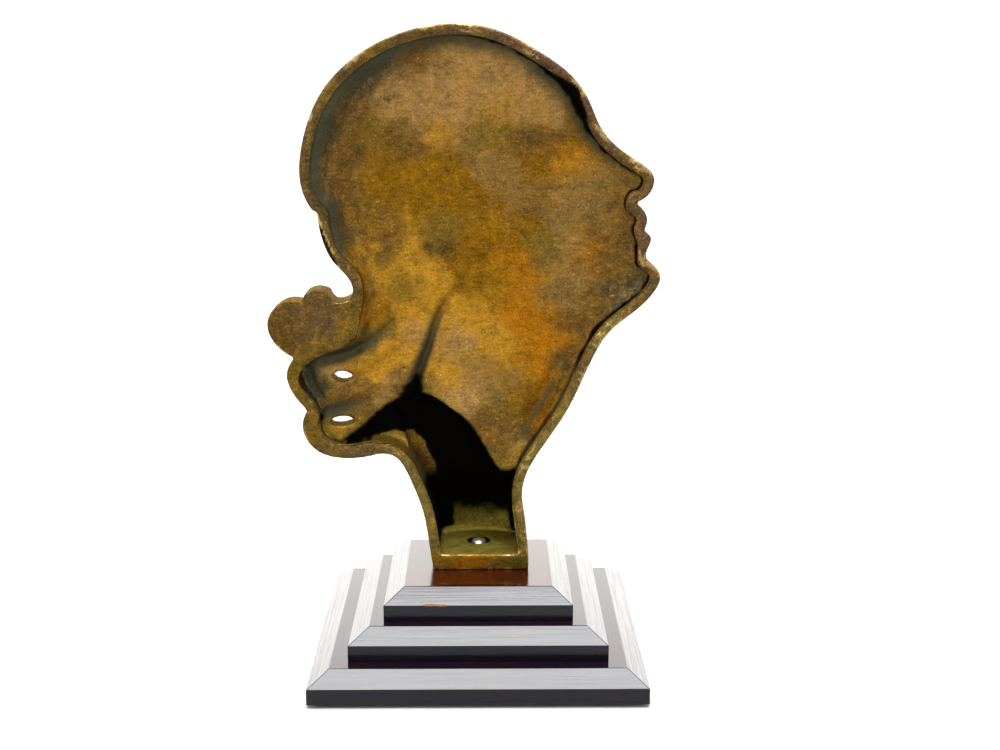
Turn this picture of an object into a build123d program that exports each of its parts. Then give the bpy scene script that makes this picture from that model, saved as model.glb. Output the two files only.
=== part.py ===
from build123d import *

import os
from math import cos, radians, sin, sqrt

# A cast bronze car mascot, a woman's head in profile with a hollow back, bolted to a plinth of three
# bevelled hardwood tiers. Millimetres, +Z up, and the hollow back faces -Y. The origin is the centre
# of the plinth's square underside, where the whole object rests.

# ---------------------------------------------------------------- driving dimensions: the plinth
bottom_width = 102.0        # square tiers, across the vertical edges
middle_width = 79.0
top_width = 58.4
tier_edge = 4.9             # height of the vertical edge of each tier
bevel_rise = 4.1            # the bevel above it
bevel_run = 6.2
tier_round = 0.5            # worn corners of the tiers
felt_thickness = 1.0
felt_inset = 2.5            # the felt stops short of the tier's edge
felt_corner = 3.0

# ---------------------------------------------------------------- driving dimensions: the mascot
mascot_height = 170.6       # from the foot's underside to the crown
rim_plane = -8.0            # Y of the casting's flat back rim
rim_width = 3.2             # the rim that stands round the hollow
shell = 3.4                 # metal between the hollow and the front
edge_depth = 6.0            # thickness at the outline
dome_depth = 15.0           # thickness of the head along its middle
dome_radius = 186.0
face_relief = 0.9           # the face stands this much proud of the neck
hair_relief = 2.4           # and the hair this much
chignon_depth = 12.5
chignon_radius = 70.0
curl_hollow_depth = 5.0
foot_depth = 27.5           # front to back at the foot
foot_plate = 5.0            # floor of the neck's pocket
neck_wall = 2.4             # front of the neck's pocket

# ---------------------------------------------------------------- driving dimensions: the fixings
bolt_diameter = 6.0
bolt_x = 0.0
bolt_y = 7.0
bolt_tip_recess = 1.0       # the tip stops below the pocket's floor
bolt_chamfer = 0.9
bolt_head_flats = 10.0
bolt_head_height = 4.0
thread_play = 0.05          # radial, bolt in the foot's tapped hole
bolt_hole_play = 0.4        # radial, bolt in the wood and the washers
tap_countersink = 0.6
washer_diameter = 12.5
washer_thickness = 1.6
spring_washer_diameter = 11.6
spring_washer_thickness = 1.6
spring_washer_gap = 1.4
spanner_room = 3.0          # radial, round the washer in the bottom tier
screw_diameter = 3.5
screw_head_diameter = 7.0
screw_head_sink = 0.3       # heads sit below the wood
screw_bite = 6.0            # length of screw in the tier above
screw_play = 0.05           # radial, screw in its hole
screw_slot_width = 0.9
screw_slot_depth = 0.9
middle_screw_inset = 11.0   # lower screws, from the middle tier's vertical edge
top_screw_inset = 12.0      # upper screws, from the top tier's vertical edge

# ---------------------------------------------------------------- what follows from these
tier_height = tier_edge + bevel_rise
bottom_z = felt_thickness
middle_z = bottom_z + tier_height
top_z = middle_z + tier_height
foot_z = top_z + tier_height
bolt_seat_z = middle_z - washer_thickness - spring_washer_thickness
spanner_radius = washer_diameter / 2 + spanner_room
EPS = 0.5                   # how far a cutting solid runs past what it cuts

# ---------------------------------------------------------------- the mascot's drawing
# x runs towards the face and y up from the foot's underside, all drawn for a mascot of this height.
DRAWN_HEIGHT = 170.6
k = mascot_height / DRAWN_HEIGHT

# The head's own frame, tilted back. A face is three equal thirds from chin to hairline, and the head
# is three and a half of them, with the eyes halfway up.
HEAD_TILT = 24.0
HEAD_HEIGHT = 104.0
FACE_THIRD = HEAD_HEIGHT / 3.5
CHIN_ALONG_HEAD = 59.0      # up the tilted head to the underside of the chin
FACE_LINE = 91.0            # forward to the line from brow to upper lip


def on_face(forward, up):
    """A point of the head in thirds of the face: forward of the face line, and up from the chin."""
    along = FACE_LINE + forward * FACE_THIRD
    height = CHIN_ALONG_HEAD + up * FACE_THIRD
    tilt = radians(HEAD_TILT)
    return (along * cos(tilt) - height * sin(tilt), along * sin(tilt) + height * cos(tilt))


# Level sections of the neck: height, middle, half-width, depth at its sides and depth of its front.
neck_sections = [
    (-1, 0.75, 17.5, 0.86 * foot_depth, foot_depth),
    (12, 0.5, 17.5, 0.8 * foot_depth, foot_depth),
    (34, -0.5, 23.0, 0.62 * foot_depth, 0.79 * foot_depth),
    (50, 0.0, 28.0, 0.48 * foot_depth, 0.68 * foot_depth),
    (64, 2.0, 36.0, 0.6 * dome_depth, 1.07 * dome_depth),
    (86, 4.0, 48.0, 0.4 * dome_depth, 0.85 * dome_depth),
]

# The outline, anticlockwise from the foot's front corner.
THROAT = [(15.9, 0), (15.6, 9), (14, 21), (14.4, 29), (18, 37), (27.5, 51.5), (34.3, 66), (41, 77.5)]
CHIN = [on_face(-0.22, 0.0), on_face(-0.03, 0.2), on_face(-0.09, 0.42), on_face(0.03, 0.56)]
MOUTH = on_face(-0.02, 0.655)
UPPER_LIP = on_face(0.07, 0.76)
NOSE_BASE = on_face(0.0, 0.99)
NOSE = [on_face(0.19, 0.99), on_face(0.3, 1.12), on_face(0.2, 1.36), on_face(0.0, 1.84)]
FOREHEAD = [on_face(0.0, 2.1), on_face(-0.06, 2.4)]
CROWN = [(19.5, 162), (6, 168.8), (-11, 170.5), (-30, 165), (-45.5, 152.5), (-53, 135.5), (-53.3, 121)]
HAIR_STEP = [(-50.5, 115.3), (-48.8, 114.4)]
NAPE = [(-47.4, 105.5), (-44.3, 99.2), (-39.2, 93.2), (-38.8, 89), (-42.8, 86.7), (-46.2, 89.5)]
SMALL_CURL = [(-49.8, 90.7), (-52.6, 90), (-53.9, 86.5)]
LARGE_CURL = [(-60.5, 86.8), (-65.2, 80.5), (-62.5, 73.2), (-56.8, 69.4)]
SIDE_CURL = [(-59.6, 62.5), (-57.0, 56.6), (-53.4, 52.4)]
LOWER_CURL = [(-55.1, 46.5), (-51.5, 40), (-43, 37.0), (-32.2, 38.2)]
NECK = [(-26.0, 37.2), (-21.5, 30), (-17.6, 19.3), (-15.4, 6), (-14.4, 0)]

# The dome over the head is a capsule between these heights, and the chignon lies left of the neck.
DOME_HIGH = 116.0
DOME_LOW = 62.0
CHIGNON_X = -31.0
CHIGNON_TOP = 93.0

# Among the curls the hollow's edge keeps clear of the two solid ones.
CURL_HOLLOW = [(-36.5, 82), (-39, 74.5), (-46, 71), (-53.6, 66.8), (-56, 62.4), (-53, 57), (-49.6, 51.6),
               (-49.4, 46), (-43, 41.4), (-33, 42.4)]

# The neck's deep pocket opens below this lip, and its front leans out from here down to the foot.
POCKET_LIP = [(-28, 40), (-26, 53), (-19, 56), (-9, 51), (0, 41.5), (6, 31.5), (20, 31.5)]

# Two slits between the strands: centre, length, height and slope in degrees.
SLITS = [((-42.8, 62.1), 7.0, 3.4, -4), ((-43.4, 47.8), 9.6, 2.7, 2)]

# Three strands of hair part at grooves in the back: end points with one between, and a width.
GROOVES = [([(-23, 86), (-30, 75.5), (-43, 70)], 2.6), ([(-8, 87), (-14.3, 71.5), (-18.5, 57.5)], 2.4),
           ([(-27.5, 58.5), (-34, 54), (-46, 52)], 1.8)]
GROOVE_DEPTH = 1.6

# Where the hair ends on the front: brow, temple, over the ear and down to the nape.
HAIRLINE = [on_face(0.2, 2.9), on_face(-0.3, 2.75), on_face(-0.8, 2.35), on_face(-1.15, 1.6),
            on_face(-1.5, 1.0), (-12, 80), (-24, 62), (-33, 30)]

# The jaw, from under the chin to its angle and up to the ear.
JAW = [on_face(0.1, -0.15), on_face(-0.45, 0.02), on_face(-1.1, 0.28), on_face(-1.5, 0.66), on_face(-1.65, 1.2)]

# The features of the face are raised lines: points, and the radius of the line.
FACE_LINES = [
    ([on_face(-0.2, 2.0), on_face(-0.5, 2.12), on_face(-0.9, 1.98)], 1.3),        # brow
    ([on_face(-0.24, 1.7), on_face(-0.36, 1.84), on_face(-0.66, 1.7)], 0.9),      # upper lid
    ([on_face(-0.27, 1.66), on_face(-0.4, 1.6), on_face(-0.64, 1.68)], 0.7),      # lower lid
    ([on_face(0.06, 1.02), on_face(-0.1, 1.08), on_face(-0.02, 1.27)], 1.3),      # wing of the nose
    ([on_face(0.0, 0.725), on_face(-0.16, 0.71), on_face(-0.34, 0.655)], 1.6),    # upper lip
    ([on_face(-0.02, 0.59), on_face(-0.16, 0.595), on_face(-0.33, 0.645)], 1.6),  # lower lip
]
EYEBALL = on_face(-0.42, 1.7)
EYEBALL_RADIUS = 5.0
EYEBALL_RISE = 0.9

# Grooves between the combed strands on the front, and their width.
STRANDS = [
    [(16, 158), (-14, 150), (-38, 122), (-40, 100), (-48, 82)],
    [(13, 147), (-10, 136), (-27, 112), (-30, 94), (-40, 76)],
    [(6, 134), (-8, 120), (-17, 103), (-22, 88), (-34, 70)],
]
STRAND_WIDTH = 2.6
STRAND_DEPTH = 0.8

# Rings of hair on the solid curls: centre and radius.
CURL_RINGS = [((-57.6, 78.2), 4.0), ((-50.0, 86.0), 1.9)]
CURL_RING_SIZE = 1.3


def scaled(points):
    """Points of the drawing, at the mascot's size."""
    return [Vector(x * k, y * k) for x, y in points]


def outline_edges():
    """The casting's outline as curves, with corners only where the profile or the hair has them."""
    runs = [
        THROAT + CHIN + [MOUTH],
        [MOUTH, UPPER_LIP, NOSE_BASE],
        [NOSE_BASE] + NOSE + FOREHEAD + CROWN + HAIR_STEP[:1],
        HAIR_STEP,
        HAIR_STEP[-1:] + NAPE,
        NAPE[-1:] + SMALL_CURL,
        SMALL_CURL[-1:] + LARGE_CURL,
        LARGE_CURL[-1:] + SIDE_CURL,
        SIDE_CURL[-1:] + LOWER_CURL,
        LOWER_CURL[-1:] + NECK,
        [NECK[-1], THROAT[0]],
    ]
    return [Line(*scaled(run)) if len(run) == 2 else Spline(*scaled(run)) for run in runs]


def inset_points(edges, outline, distance, spacing):
    """Points at a distance inside the outline along some of its edges, none where a corner crowds."""
    points = []
    for edge in edges:
        steps = max(2, round(edge.length / spacing))
        for step in range(steps + 1):
            at = edge.position_at(step / steps)
            along = edge.tangent_at(step / steps)
            inside = at + Vector(-along.Y, along.X) * distance
            crowded = outline.distance_to(Vertex(inside.X, inside.Y, 0)) < 0.97 * distance
            near_last = points and (inside - points[-1]).length < 0.4 * spacing
            if not crowded and not near_last:
                points.append(inside)
    return points


def hollow_face(edges, outline):
    """The hollow's own outline: a rim's width inside the casting, and clear of the solid curls."""
    spacing = 3.5 * k
    front = inset_points(edges[0:3], outline, rim_width, spacing)
    nape = inset_points(edges[4:5], outline, rim_width, spacing)
    neck = inset_points(edges[9:10], outline, rim_width, spacing)
    front = [p for p in front if p.Y > foot_plate]
    nape = [p for p in nape if p.Y > 88 * k]
    neck = [p for p in neck if p.Y > foot_plate and p.X > -30 * k]
    start = Vector(front[0].X, foot_plate)
    end = Vector(neck[-1].X, foot_plate)
    side = front + nape + scaled(CURL_HOLLOW) + neck
    return make_face([Spline(start, *side, end), Line(end, start)])


def behind(face, depth):
    """A face of the drawing made solid from the rim plane to a depth behind it."""
    return extrude(face, amount=-depth)


def dome(top):
    """A capsule lying along the head, its crest a depth of top behind the rim plane."""
    low = DOME_LOW * k
    high = DOME_HIGH * k
    centre_z = dome_radius - top
    between = Pos(0, (low + high) / 2, centre_z) * Rot(90, 0, 0) * Cylinder(dome_radius, high - low)
    ends = [Pos(0, y, centre_z) * Sphere(dome_radius) for y in (low, high)]
    return ends[0] + between + ends[1]


def neck_section(height, middle, half_width, side, crest, wall):
    """A level section of the neck, with an arched front, a wall's thickness inside the metal."""
    reach = (half_width - wall / k) * k
    lift = Pos(middle * k, height * k) * Rot(90, 0, 0)
    top = EPS if wall else 0
    left, right = (-reach, wall - side), (reach, wall - side)
    arch = ThreePointArc(left, (0, wall - crest), right)
    around = Polyline(right, (reach, top), (-reach, top), left)
    return lift * make_face([arch, around])


def neck_column(wall):
    """The neck from the foot up into the dome: square and deep below, shallow and arched above."""
    return loft([neck_section(*section, wall) for section in neck_sections])


def chignon_box(thickness):
    """The block of the curls, a thickness measured from the rim plane back."""
    size = 60 * k
    corner = Vector(CHIGNON_X, CHIGNON_TOP) * k
    return Pos(corner.X - size / 2, corner.Y - size / 2, -thickness / 2) * Box(size, size, thickness)


def pocket_region():
    """Everything below the lip of the neck's pocket."""
    lip = scaled(POCKET_LIP)
    below = Polyline(lip[-1], (lip[-1].X, 0), (lip[0].X, 0), lip[0])
    return make_face([Spline(*lip), below])


def hair_region():
    """Everything on the hair's side of the hairline."""
    line = scaled(HAIRLINE)
    around = Polyline(line[-1], (-90 * k, 30 * k), (-90 * k, 200 * k), (80 * k, 200 * k), line[0])
    return make_face([Spline(*line), around])


def face_region():
    """Everything above the jaw and in front of the ear."""
    jaw = scaled(JAW)
    around = Polyline(jaw[-1], *scaled([on_face(-1.65, 3.0), on_face(0.8, 3.0), on_face(0.8, -0.15)]), jaw[0])
    return make_face([Spline(*jaw), around])


def slit(centre, length, height, slope):
    """An eye-shaped opening through the casting."""
    half = length * k / 2
    rise = height * k / 2
    upper = ThreePointArc((-half, 0), (0, rise), (half, 0))
    lower = ThreePointArc((half, 0), (0, -rise), (-half, 0))
    place = Pos(centre[0] * k, centre[1] * k, EPS) * Rot(0, 0, slope)
    return place * behind(make_face([upper, lower]), foot_depth)


def dome_drop(point):
    """How far the dome has fallen from its crest at a point of the drawing."""
    beyond = max(point.Y - DOME_HIGH * k, DOME_LOW * k - point.Y, 0)
    return dome_radius - sqrt(dome_radius ** 2 - point.X ** 2 - beyond ** 2)


def bead(points, radius, depth_at):
    """A round rod that follows a curve, its axis at the depth that a function of the point gives."""
    path = Spline(*[Vector(p.X, p.Y, -depth_at(p)) for p in scaled(points)])
    return sweep(Plane(origin=path @ 0, z_dir=path % 0) * Circle(radius), path=path)


def floor_depth(point):
    """Depth of the hollow's floor at a point of the drawing."""
    in_chignon = point.X < CHIGNON_X * k and point.Y < CHIGNON_TOP * k
    head = dome_depth - shell - dome_drop(point)
    return max(head, curl_hollow_depth) if in_chignon else head


def back_groove(points, width):
    """A round-bottomed groove in the hollow's floor."""
    radius = width * k / 2
    return bead(points, radius, lambda point: floor_depth(point) + GROOVE_DEPTH - radius)


def strand_groove(points):
    """A round-bottomed groove between two strands of the hair on the front."""
    radius = STRAND_WIDTH * k / 2
    return bead(points, radius, lambda point: dome_depth + hair_relief - dome_drop(point) + radius - STRAND_DEPTH)


def face_depth(point):
    """Depth of the face's surface at a point of the drawing."""
    return dome_depth + face_relief - dome_drop(point)


def eyeball():
    """The part of the eye that shows between the lids."""
    centre = scaled([EYEBALL])[0]
    radius = EYEBALL_RADIUS * k
    return Pos(centre.X, centre.Y, radius - EYEBALL_RISE * k - face_depth(centre)) * Sphere(radius)


def chignon_ball():
    """The swelling of the chignon behind the rim plane."""
    middle = Vector(CHIGNON_X - 15, 62) * k
    return Pos(middle.X, middle.Y, chignon_radius - chignon_depth) * Sphere(chignon_radius)


def curl_ring(centre, radius):
    """A ring of hair on the front of a solid curl."""
    middle = Vector(*centre) * k
    drop = (middle - Vector(CHIGNON_X - 15, 62) * k).length
    depth = chignon_depth - chignon_radius + sqrt(chignon_radius ** 2 - drop ** 2)
    return Pos(middle.X, middle.Y, -depth) * Torus(radius * k, CURL_RING_SIZE * k)


def mascot_casting():
    """The bronze: a domed shell with a rim, a deeper neck, a foot plate with a tapped hole, and curls."""
    edges = outline_edges()
    outline = Wire(edges)
    silhouette = make_face(outline)
    block = behind(silhouette, foot_depth)

    front = behind(silhouette, edge_depth)
    front += block & dome(dome_depth)
    front += block & neck_column(0)
    front += behind(silhouette & face_region(), foot_depth) & dome(dome_depth + face_relief)
    front += behind(silhouette & hair_region(), foot_depth) & dome(dome_depth + hair_relief)
    front += block & chignon_ball() & chignon_box(2 * chignon_depth)
    for points, radius in FACE_LINES:
        front += bead(points, radius * k, face_depth) & block
    front += eyeball() & block
    for ring in CURL_RINGS:
        front += curl_ring(*ring) & block
    for points in STRANDS:
        front -= strand_groove(points)

    space = Pos(0, 0, EPS) * behind(hollow_face(edges, outline), foot_depth)
    hollow = space & dome(dome_depth - shell)
    hollow += space & (Pos(0, 0, EPS) * chignon_box(curl_hollow_depth + EPS))
    hollow += space & (Pos(0, 0, EPS) * behind(pocket_region(), 2 * foot_depth)) & neck_column(neck_wall)
    casting = front - hollow
    for opening in SLITS:
        casting -= slit(*opening)
    for points, width in GROOVES:
        casting -= back_groove(points, width)

    standing = Pos(0, rim_plane, foot_z) * Rot(90, 0, 0) * casting
    bore = bolt_diameter / 2 + thread_play
    tapped = Pos(bolt_x, bolt_y, foot_z) * Cylinder(bore, 4 * foot_plate)
    mouth = Pos(bolt_x, bolt_y, foot_z + foot_plate - tap_countersink) * Cone(
        bore, bore + tap_countersink, tap_countersink, align=(Align.CENTER, Align.CENTER, Align.MIN))
    return standing - tapped - mouth


def upright(radius, low, high, x=bolt_x, y=bolt_y):
    """A cylinder standing between two heights, on the bolt's axis unless told otherwise."""
    return Pos(x, y, low) * Cylinder(radius, high - low, align=(Align.CENTER, Align.CENTER, Align.MIN))


def mounting_bolt():
    """A hexagon-headed bolt screwed up into the foot from below the plinth."""
    tip_z = foot_z + foot_plate - bolt_tip_recess
    head = Pos(bolt_x, bolt_y, bolt_seat_z - bolt_head_height) * extrude(
        RegularPolygon(bolt_head_flats / 2, 6, major_radius=False), amount=bolt_head_height)
    crown = Pos(bolt_x, bolt_y, bolt_seat_z - bolt_head_height) * Cone(
        bolt_head_flats / 2, bolt_head_flats / 2 + 2 * bolt_head_height, bolt_head_height,
        align=(Align.CENTER, Align.CENTER, Align.MIN))
    shank = upright(bolt_diameter / 2, bolt_seat_z - EPS, tip_z)
    shank = chamfer(shank.edges().sort_by(Axis.Z)[-1], bolt_chamfer)
    return (head & crown) + shank


def flat_washer():
    """The washer that bears on the middle tier."""
    hole = bolt_diameter / 2 + bolt_hole_play
    low = middle_z - washer_thickness
    return upright(washer_diameter / 2, low, middle_z) - upright(hole, low - EPS, middle_z + EPS)


def spring_washer():
    """A split ring pressed flat between the bolt's head and the washer."""
    hole = bolt_diameter / 2 + bolt_hole_play
    high = bolt_seat_z + spring_washer_thickness
    ring = upright(spring_washer_diameter / 2, bolt_seat_z, high) - upright(hole, bolt_seat_z - EPS, high + EPS)
    split = Pos(bolt_x + spring_washer_diameter / 2, bolt_y, (bolt_seat_z + high) / 2) * Rot(30, 0, 0) * Box(
        spring_washer_diameter, spring_washer_gap, 4 * spring_washer_thickness)
    return ring - split


def tier(width, low):
    """One square tier: a vertical edge, then a bevel up to its flat top."""
    top = width - 2 * bevel_run
    edge = extrude(Pos(0, 0, low) * RectangleRounded(width, width, tier_round), amount=tier_edge)
    bevel = loft([Pos(0, 0, low + tier_edge) * RectangleRounded(width, width, tier_round),
                  Pos(0, 0, low + tier_height) * RectangleRounded(top, top, tier_round)])
    return edge + bevel


def screw_places():
    """Where the wood screws stand: four into the middle tier and two into the top one."""
    lower = middle_width / 2 - middle_screw_inset
    upper = top_width / 2 - top_screw_inset
    corners = [(x, y, bottom_z) for x in (-lower, lower) for y in (-lower, lower)]
    return corners + [(x, 0, middle_z) for x in (-upper, upper)]


def screw_body(x, y, low, play):
    """A countersunk screw's shape from the underside of a tier up into the next, grown by a play."""
    shank_radius = screw_diameter / 2 + play
    head_radius = screw_head_diameter / 2 + play
    head_z = low + screw_head_sink - play
    head_height = head_radius - shank_radius
    tip_z = low + tier_height + screw_bite
    head = Pos(x, y, head_z) * Cone(head_radius, shank_radius, head_height,
                                    align=(Align.CENTER, Align.CENTER, Align.MIN))
    shank = upright(shank_radius, head_z + head_height, tip_z - screw_diameter, x, y)
    point = Pos(x, y, tip_z - screw_diameter) * Cone(shank_radius, shank_radius / 4, screw_diameter + play,
                                                     align=(Align.CENTER, Align.CENTER, Align.MIN))
    return head + shank + point


def wood_screw(x, y, low):
    """A slotted countersunk wood screw."""
    slot = Pos(x, y, low + screw_head_sink) * Box(2 * screw_head_diameter, screw_slot_width, 2 * screw_slot_depth)
    return screw_body(x, y, low, 0) - slot


def screw_hole(x, y, low):
    """The hole a wood screw sits in, open at the underside of its tier."""
    mouth = upright(screw_head_diameter / 2 + screw_play, low - EPS, low + screw_head_sink, x, y)
    return screw_body(x, y, low, screw_play) + mouth


def tiers():
    """The three tiers with the bolt's hole, the spanner's hole and the screws' holes."""
    bolt_hole = upright(bolt_diameter / 2 + bolt_hole_play, 0, foot_z + EPS)
    spanner_hole = upright(spanner_radius, bottom_z - EPS, middle_z)
    holes = [screw_hole(*place) for place in screw_places()]
    bottom = tier(bottom_width, bottom_z) - spanner_hole - holes[0:4]
    middle = tier(middle_width, middle_z) - bolt_hole - holes
    top = tier(top_width, top_z) - bolt_hole - holes[4:6]
    return {"bottom_tier": bottom, "middle_tier": middle, "top_tier": top}


def felt():
    """The felt glued under the plinth."""
    width = bottom_width - 2 * felt_inset
    return extrude(RectangleRounded(width, width, felt_corner), amount=felt_thickness)


parts = {
    "mascot_casting": mascot_casting(),
    "mounting_bolt": mounting_bolt(),
    "flat_washer": flat_washer(),
    "spring_washer": spring_washer(),
    "felt": felt(),
}
parts.update(tiers())
for number, place in enumerate(screw_places(), start=1):
    parts[f"wood_screw_{number}"] = wood_screw(*place)

os.makedirs("parts", exist_ok=True)
for name, solid in parts.items():
    export_step(solid, f"parts/{name}.step")
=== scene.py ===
"""Looks of a cast bronze mascot on its stepped, ebonised plinth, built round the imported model."""

import logging
from dataclasses import dataclass
from enum import Enum
from math import cos, pi, radians, sin
from typing import Any, Sequence

import bpy
import bmesh
import numpy as np
from mathutils import Matrix, Vector, noise
from mathutils.kdtree import KDTree


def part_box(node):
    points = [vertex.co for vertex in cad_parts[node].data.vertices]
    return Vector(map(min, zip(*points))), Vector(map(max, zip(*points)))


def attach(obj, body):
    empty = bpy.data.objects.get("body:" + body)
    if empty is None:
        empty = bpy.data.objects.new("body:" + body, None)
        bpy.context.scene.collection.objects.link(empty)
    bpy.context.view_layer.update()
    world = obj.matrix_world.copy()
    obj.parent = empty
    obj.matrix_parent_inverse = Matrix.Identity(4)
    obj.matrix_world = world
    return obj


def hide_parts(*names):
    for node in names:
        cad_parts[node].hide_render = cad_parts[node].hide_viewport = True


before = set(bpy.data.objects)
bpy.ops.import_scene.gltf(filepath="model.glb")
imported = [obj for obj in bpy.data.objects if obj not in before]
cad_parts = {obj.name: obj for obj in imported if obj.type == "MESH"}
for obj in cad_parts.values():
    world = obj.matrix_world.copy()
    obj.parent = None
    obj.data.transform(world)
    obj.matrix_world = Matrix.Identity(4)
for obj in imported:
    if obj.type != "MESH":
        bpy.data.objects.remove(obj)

MM = 0.001
log = logging.getLogger("mascot")
Colour = tuple[float, float, float]
Spot = tuple[float, float]
Array = np.ndarray
Piece = bpy.types.Object
Link = bpy.types.NodeSocket
WELD = 0.001 * MM


# ------------------------------------------------------------------------------------------ shading


class Value:
    """A number that varies over a surface, with Python's arithmetic."""

    def __init__(self, recipe: "Recipe", socket: Link) -> None:
        """Keeps the socket and the recipe it belongs to."""
        self.recipe = recipe
        self.socket = socket

    def _math(self, operation: str, *terms: Any) -> "Value":
        """Adds one Math node.

        Args:
            operation: the Math node's operation.
            terms: its inputs, numbers or values.

        Returns:
            The node's result.
        """
        return self.recipe.number("ShaderNodeMath", {"operation": operation}, dict(enumerate(terms)))

    def __add__(self, other: Any) -> "Value":
        """Sum."""
        return self._math("ADD", self, other)

    __radd__ = __add__

    def __sub__(self, other: Any) -> "Value":
        """Difference."""
        return self._math("SUBTRACT", self, other)

    def __rsub__(self, other: Any) -> "Value":
        """Difference, reflected."""
        return self._math("SUBTRACT", other, self)

    def __mul__(self, other: Any) -> "Value":
        """Product."""
        return self._math("MULTIPLY", self, other)

    __rmul__ = __mul__

    def __truediv__(self, other: Any) -> "Value":
        """Quotient."""
        return self._math("DIVIDE", self, other)

    def __pow__(self, other: Any) -> "Value":
        """Power."""
        return self._math("POWER", self, other)

    def __abs__(self) -> "Value":
        """Size without sign."""
        return self._math("ABSOLUTE", self)

    def wave(self) -> "Value":
        """A wave from 0 to 1 with one crest in each whole number."""
        return self._math("SINE", self * (2 * pi)) * 0.5 + 0.5

    def higher(self, other: Any) -> "Value":
        """The higher of two values."""
        return self._math("MAXIMUM", self, other)

    def step(self, low: float, high: float) -> "Value":
        """A smooth rise from 0 to 1 between two levels.

        Args:
            low: the level where the rise starts.
            high: the level where it ends, which may be the lower of the two.

        Returns:
            The risen value, held within 0 and 1.
        """
        settings = {"interpolation_type": "SMOOTHSTEP"}
        if low > high:
            return 1 - self.step(high, low)
        terms = {"Value": self, "From Min": low, "From Max": high, "To Min": 0.0, "To Max": 1.0}
        return self.recipe.number("ShaderNodeMapRange", settings, terms)


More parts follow.
